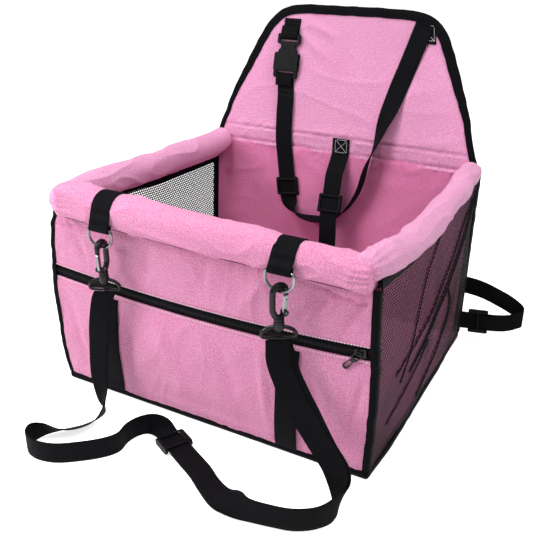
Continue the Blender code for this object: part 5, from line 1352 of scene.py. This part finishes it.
class SEAT_OT_shoulder(bpy.types.Operator):
    """Make the loose shoulder strap: one layer to its slider, then two"""
    bl_idname = "dog_seat.shoulder"
    bl_label = "Shoulder strap"

    def execute(self, context):
        rows = strap_rows(SHOULDER_LEFT)
        single = ribbon("shoulder_webbing_left", rows, "carrier", "shoulder_strap_left")
        path = [place for place, _ in rows]
        tuple(path[0])
        measured(path)[-1]
        [tuple(p) for p in path]
        rows = strap_rows(SHOULDER_RIGHT)
        path = [place for place, _ in rows]
        layers = []
        for sign in (-1, 1):
            layer = []
            for i, (place, side) in enumerate(rows):
                ahead = (path[min(i + 1, len(rows) - 1)] - path[max(i - 1, 0)]).normalized()
                out, way = ahead.cross(side).normalized(), side.normalized()
                share = i / len(rows)
                spread = ease(0.0, 0.1, share) * ease(1.0, 0.97, share)
                rise = way * way.z * 0.0018 * (sign + 1) * spread
                fan = ease(0.72, 0.88, share) * (1 - 0.75 * ease(0.93, 0.985, share))
                layer.append((place + out * sign * 0.00095 + rise + way * sign * 0.003 * fan, side))
            layers.append(ribbon(f"layer_{sign}", layer, None))
        double = joined(layers, "shoulder_webbing_right")
        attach(double, "carrier")
        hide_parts("shoulder_strap_right")
        tuple(path[0])
        measured(path)[-1]
        [tuple(p) for p in path]
        return {"FINISHED"}


# Hardware, stitching and stage

PACKED_FINISHES = {
    "nickel": ("ring_left", "ring_right", "hook_gate_left", "hook_gate_right", "tether_hook_gate"),
    "black_coat": ("zip_slider", "zip_pull", "hook_base_left", "hook_base_right", "hook_left", "hook_right",
                   "tether_hook_base", "tether_hook"),
    "black_plastic": ("buckle_male", "buckle_female", "buckle_prong_left", "buckle_prong_right",
                      "headrest_slider", "tether_slider", "shoulder_slider", "rear_strap_slider"),
    "white_pipe": ("rim_tube_front", "rim_tube_left", "rim_tube_right", "rim_elbow_left", "rim_elbow_right"),
}


class SEAT_OT_hardware(bpy.types.Operator):
    """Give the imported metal, plastic and pipe pieces their finish"""
    bl_idname = "dog_seat.hardware"
    bl_label = "Hardware"

    def execute(self, context):
        for finish, names in PACKED_FINISHES.items():
            for name in names:
                NODES[name].data.materials.clear()
                NODES[name].data.materials.append(finish_of(finish))
        return {"FINISHED"}


def cross_box(place, half_x, half_z):
    """Lines of a sewn box with a cross in it."""
    corners = [place(-half_x, -half_z), place(half_x, -half_z), place(half_x, half_z), place(-half_x, half_z)]
    return [steps(corners[i], corners[j] - corners[i], 6)
            for i, j in ((0, 1), (1, 2), (2, 3), (3, 0), (0, 2), (1, 3))]


class SEAT_OT_stitches(bpy.types.Operator):
    """Sew the zip, the fold seams and the crosses on the straps"""
    bl_idname = "dog_seat.stitches"
    bl_label = "Stitching"

    def execute(self, context):
        lines = []
        for side, face in ((1, front_face), (-1, pocket_face)):
            points = []
            for x in steps(-0.204, 0.402, 160):
                z = zip_z(x) + side * 0.0083
                points.append(Vector((x, face(x, z) - 0.0001, z)))
            lines.append(points)
        stitches("zip_seams", lines, "carrier", size=0.0007)

        # Continuous dark cord under the front roll: the roll's seam, and painted shadow of the crease beneath the
        # roll.
        line = []
        for x in steps(ROLL_ENDS[0] + 0.006, ROLL_ENDS[1] - ROLL_ENDS[0] - 0.014, 120):
            y, z = roll_centre(x)
            radius = roll_radius(x)
            line.append(Vector((x, y - radius * 0.45 - 0.0006, z - radius * 0.95 - 0.0004)))
        stitches("rim_seam_shadow", [line], "carrier", "rim_thread", slot="cloth", size=0.00075, share=1.15)

        # The fold seams: real stitches, drawn darker than the cloth as painted shade in the seam's dip.
        for name, z, body, sunk in (("lower_fold_seam", FOLD_SEAMS[0], "carrier", 0.0005),
                                    ("upper_fold_seam", FOLD_SEAMS[1], None, 0.0013)):
            wide = flap_half(z) - 0.012
            points = [Vector((wide * (i / 60 - 1), back_y(z) - PAD / 2 + sunk, z)) for i in range(121)]
            seam = stitches(name, [points], body, "seam_thread", size=0.0003, share=0.7, slot="cloth")
            if body is None:
                across_fold(seam)

        def on_wall(a, b):
            return wall_point(0.0065 + a, 0.0021, 0.2425 + b)

        def on_end(a, b):
            return flap_point(0.102 + a - 0.212 * b, 0.0019, 0.143 + b)

        stitches("tether_cross", cross_box(on_wall, 0.0085, 0.0085), "carrier", "pale_thread", pitch=0.0025,
                 size=0.00038)
        stitches("headrest_cross", cross_box(on_end, 0.01, 0.009), "flap", "pale_thread", pitch=0.0025,
                 size=0.00036)
        x = -0.1225
        rows = [[Vector((x + a, pocket_face(x, z) - 0.0021, z)) for a in (-0.006, 0.0, 0.006)]
                for z in (0.1275, 0.1255)]
        stitches("band_tack", rows, "carrier", "pale_thread", pitch=0.002, size=0.0004)
        return {"FINISHED"}


class SEAT_OT_stage(bpy.types.Operator):
    """Make the floor, the lamps and the camera"""
    bl_idname = "dog_seat.stage"
    bl_label = "Stage"

    def execute(self, context):
        values = settings().stage
        scene = context.scene
        scene.view_settings.view_transform = "Standard"
        bpy.ops.object.select_all(action="DESELECT")
        bpy.ops.mesh.primitive_plane_add(size=12.0, location=(0.0, 0.0, -0.0002))
        floor = context.object
        floor.name = "floor"
        mat, tree = new_material("studio_floor")
        tree.nodes.clear()
        light = node(tree, "ShaderNodeLightPath")
        mirrored = math_node(tree, "MAXIMUM", light.outputs["Is Glossy Ray"], light.outputs["Is Transmission Ray"])
        seen = math_node(tree, "MAXIMUM", light.outputs["Is Camera Ray"], mirrored)
        matt = node(tree, "ShaderNodeBsdfDiffuse", {"Color": (0.9, 0.9, 0.9, 1.0)})
        glow = node(tree, "ShaderNodeEmission", {"Color": (1.0, 1.0, 1.0, 1.0), "Strength": 0.74})
        both = node(tree, "ShaderNodeAddShader", {0: matt.outputs[0], 1: glow.outputs[0]})
        mix = node(tree, "ShaderNodeMixShader", {0: seen, 1: matt.outputs[0], 2: both.outputs[0]})
        node(tree, "ShaderNodeOutputMaterial", {"Surface": mix.outputs[0]})
        floor.data.materials.append(mat)

        world = bpy.data.worlds.new("studio")
        scene.world = world
        world.use_nodes = True
        tree = world.node_tree
        tree.nodes.clear()
        light = node(tree, "ShaderNodeLightPath")
        soft = node(tree, "ShaderNodeBackground", {"Color": (1.0, 1.0, 1.0, 1.0), "Strength": values.sky})
        white = node(tree, "ShaderNodeBackground", {"Color": (1.0, 1.0, 1.0, 1.0), "Strength": 1.0})
        seen = light.outputs["Is Camera Ray"]
        mix = node(tree, "ShaderNodeMixShader", {0: seen, 1: soft.outputs[0], 2: white.outputs[0]})
        node(tree, "ShaderNodeOutputWorld", {"Surface": mix.outputs[0]})

        for name, place, size, power in (("key", (-0.45, -0.76, 2.35), 0.9, values.key),
                                         ("side", (-0.62, -0.66, 0.66), 0.35, values.side),
                                         ("fill", (0.9, -0.1, 1.7), 0.8, values.fill)):
            data = bpy.data.lights.new(name, "AREA")
            data.energy = power
            data.size = size
            lamp = bpy.data.objects.new(name, data)
            lamp.visible_camera = False
            scene.collection.objects.link(lamp)
            lamp.location = place
            lamp.rotation_euler = (Vector((0.0, 0.0, 0.15)) - Vector(place)).to_track_quat("-Z", "Y").to_euler()

        a, e, k = values.azimuth, values.elevation, values.roll
        back = Vector((math.sin(a) * math.cos(e), -math.cos(a) * math.cos(e), math.sin(e)))
        right = UP.cross(back).normalized()
        up = back.cross(right)
        right, up = right * math.cos(k) + up * math.sin(k), up * math.cos(k) - right * math.sin(k)
        data = bpy.data.cameras.new("camera")
        data.sensor_width = 36.0
        data.lens = values.lens
        camera = bpy.data.objects.new("camera", data)
        scene.collection.objects.link(camera)
        camera.matrix_world = Matrix.Translation(values.place) @ Matrix((right, up, back)).transposed().to_4x4()
        scene.camera = camera
        return {"FINISHED"}


OPERATORS = (SEAT_OT_stage, SEAT_OT_shoulder, SEAT_OT_front, SEAT_OT_base, SEAT_OT_rim, SEAT_OT_nets, SEAT_OT_back,
             SEAT_OT_bindings, SEAT_OT_zip, SEAT_OT_bands, SEAT_OT_straps, SEAT_OT_hardware, SEAT_OT_stitches)


class SEAT_PT_panel(bpy.types.Panel):
    """Lists the steps that make the seat"""
    bl_idname = "SEAT_PT_panel"
    bl_label = "Dog car seat"
    bl_space_type = "VIEW_3D"
    bl_region_type = "UI"
    bl_category = "Dog Seat"

    def draw(self, context):
        values = context.scene.dog_seat
        for label, group in (("Cloth", values.cloth), ("Webbing", values.webbing), ("Mesh", values.net),
                             ("Hardware", values.hardware), ("Stitching", values.stitch), ("Stage", values.stage)):
            box = self.layout.box()
            box.label(text=label)
            for key in group.bl_rna.properties.keys():
                if key not in ("rna_type", "name"):
                    box.prop(group, key)
        for step in OPERATORS:
            self.layout.operator(step.bl_idname)


CLASSES = (ClothSettings, WebbingSettings, NetSettings, HardwareSettings, StitchSettings, StageSettings,
           DogSeatSettings, *OPERATORS, SEAT_PT_panel)


def register():
    for kind in CLASSES:
        bpy.utils.register_class(kind)
    bpy.types.Scene.dog_seat = bpy.props.PointerProperty(type=DogSeatSettings)


def unregister():
    del bpy.types.Scene.dog_seat
    for kind in reversed(CLASSES):
        bpy.utils.unregister_class(kind)


def main():
    register()
    for step in OPERATORS:
        group, name = step.bl_idname.split(".")
        getattr(getattr(bpy.ops, group), name)()


if __name__ == "__main__":
    main()
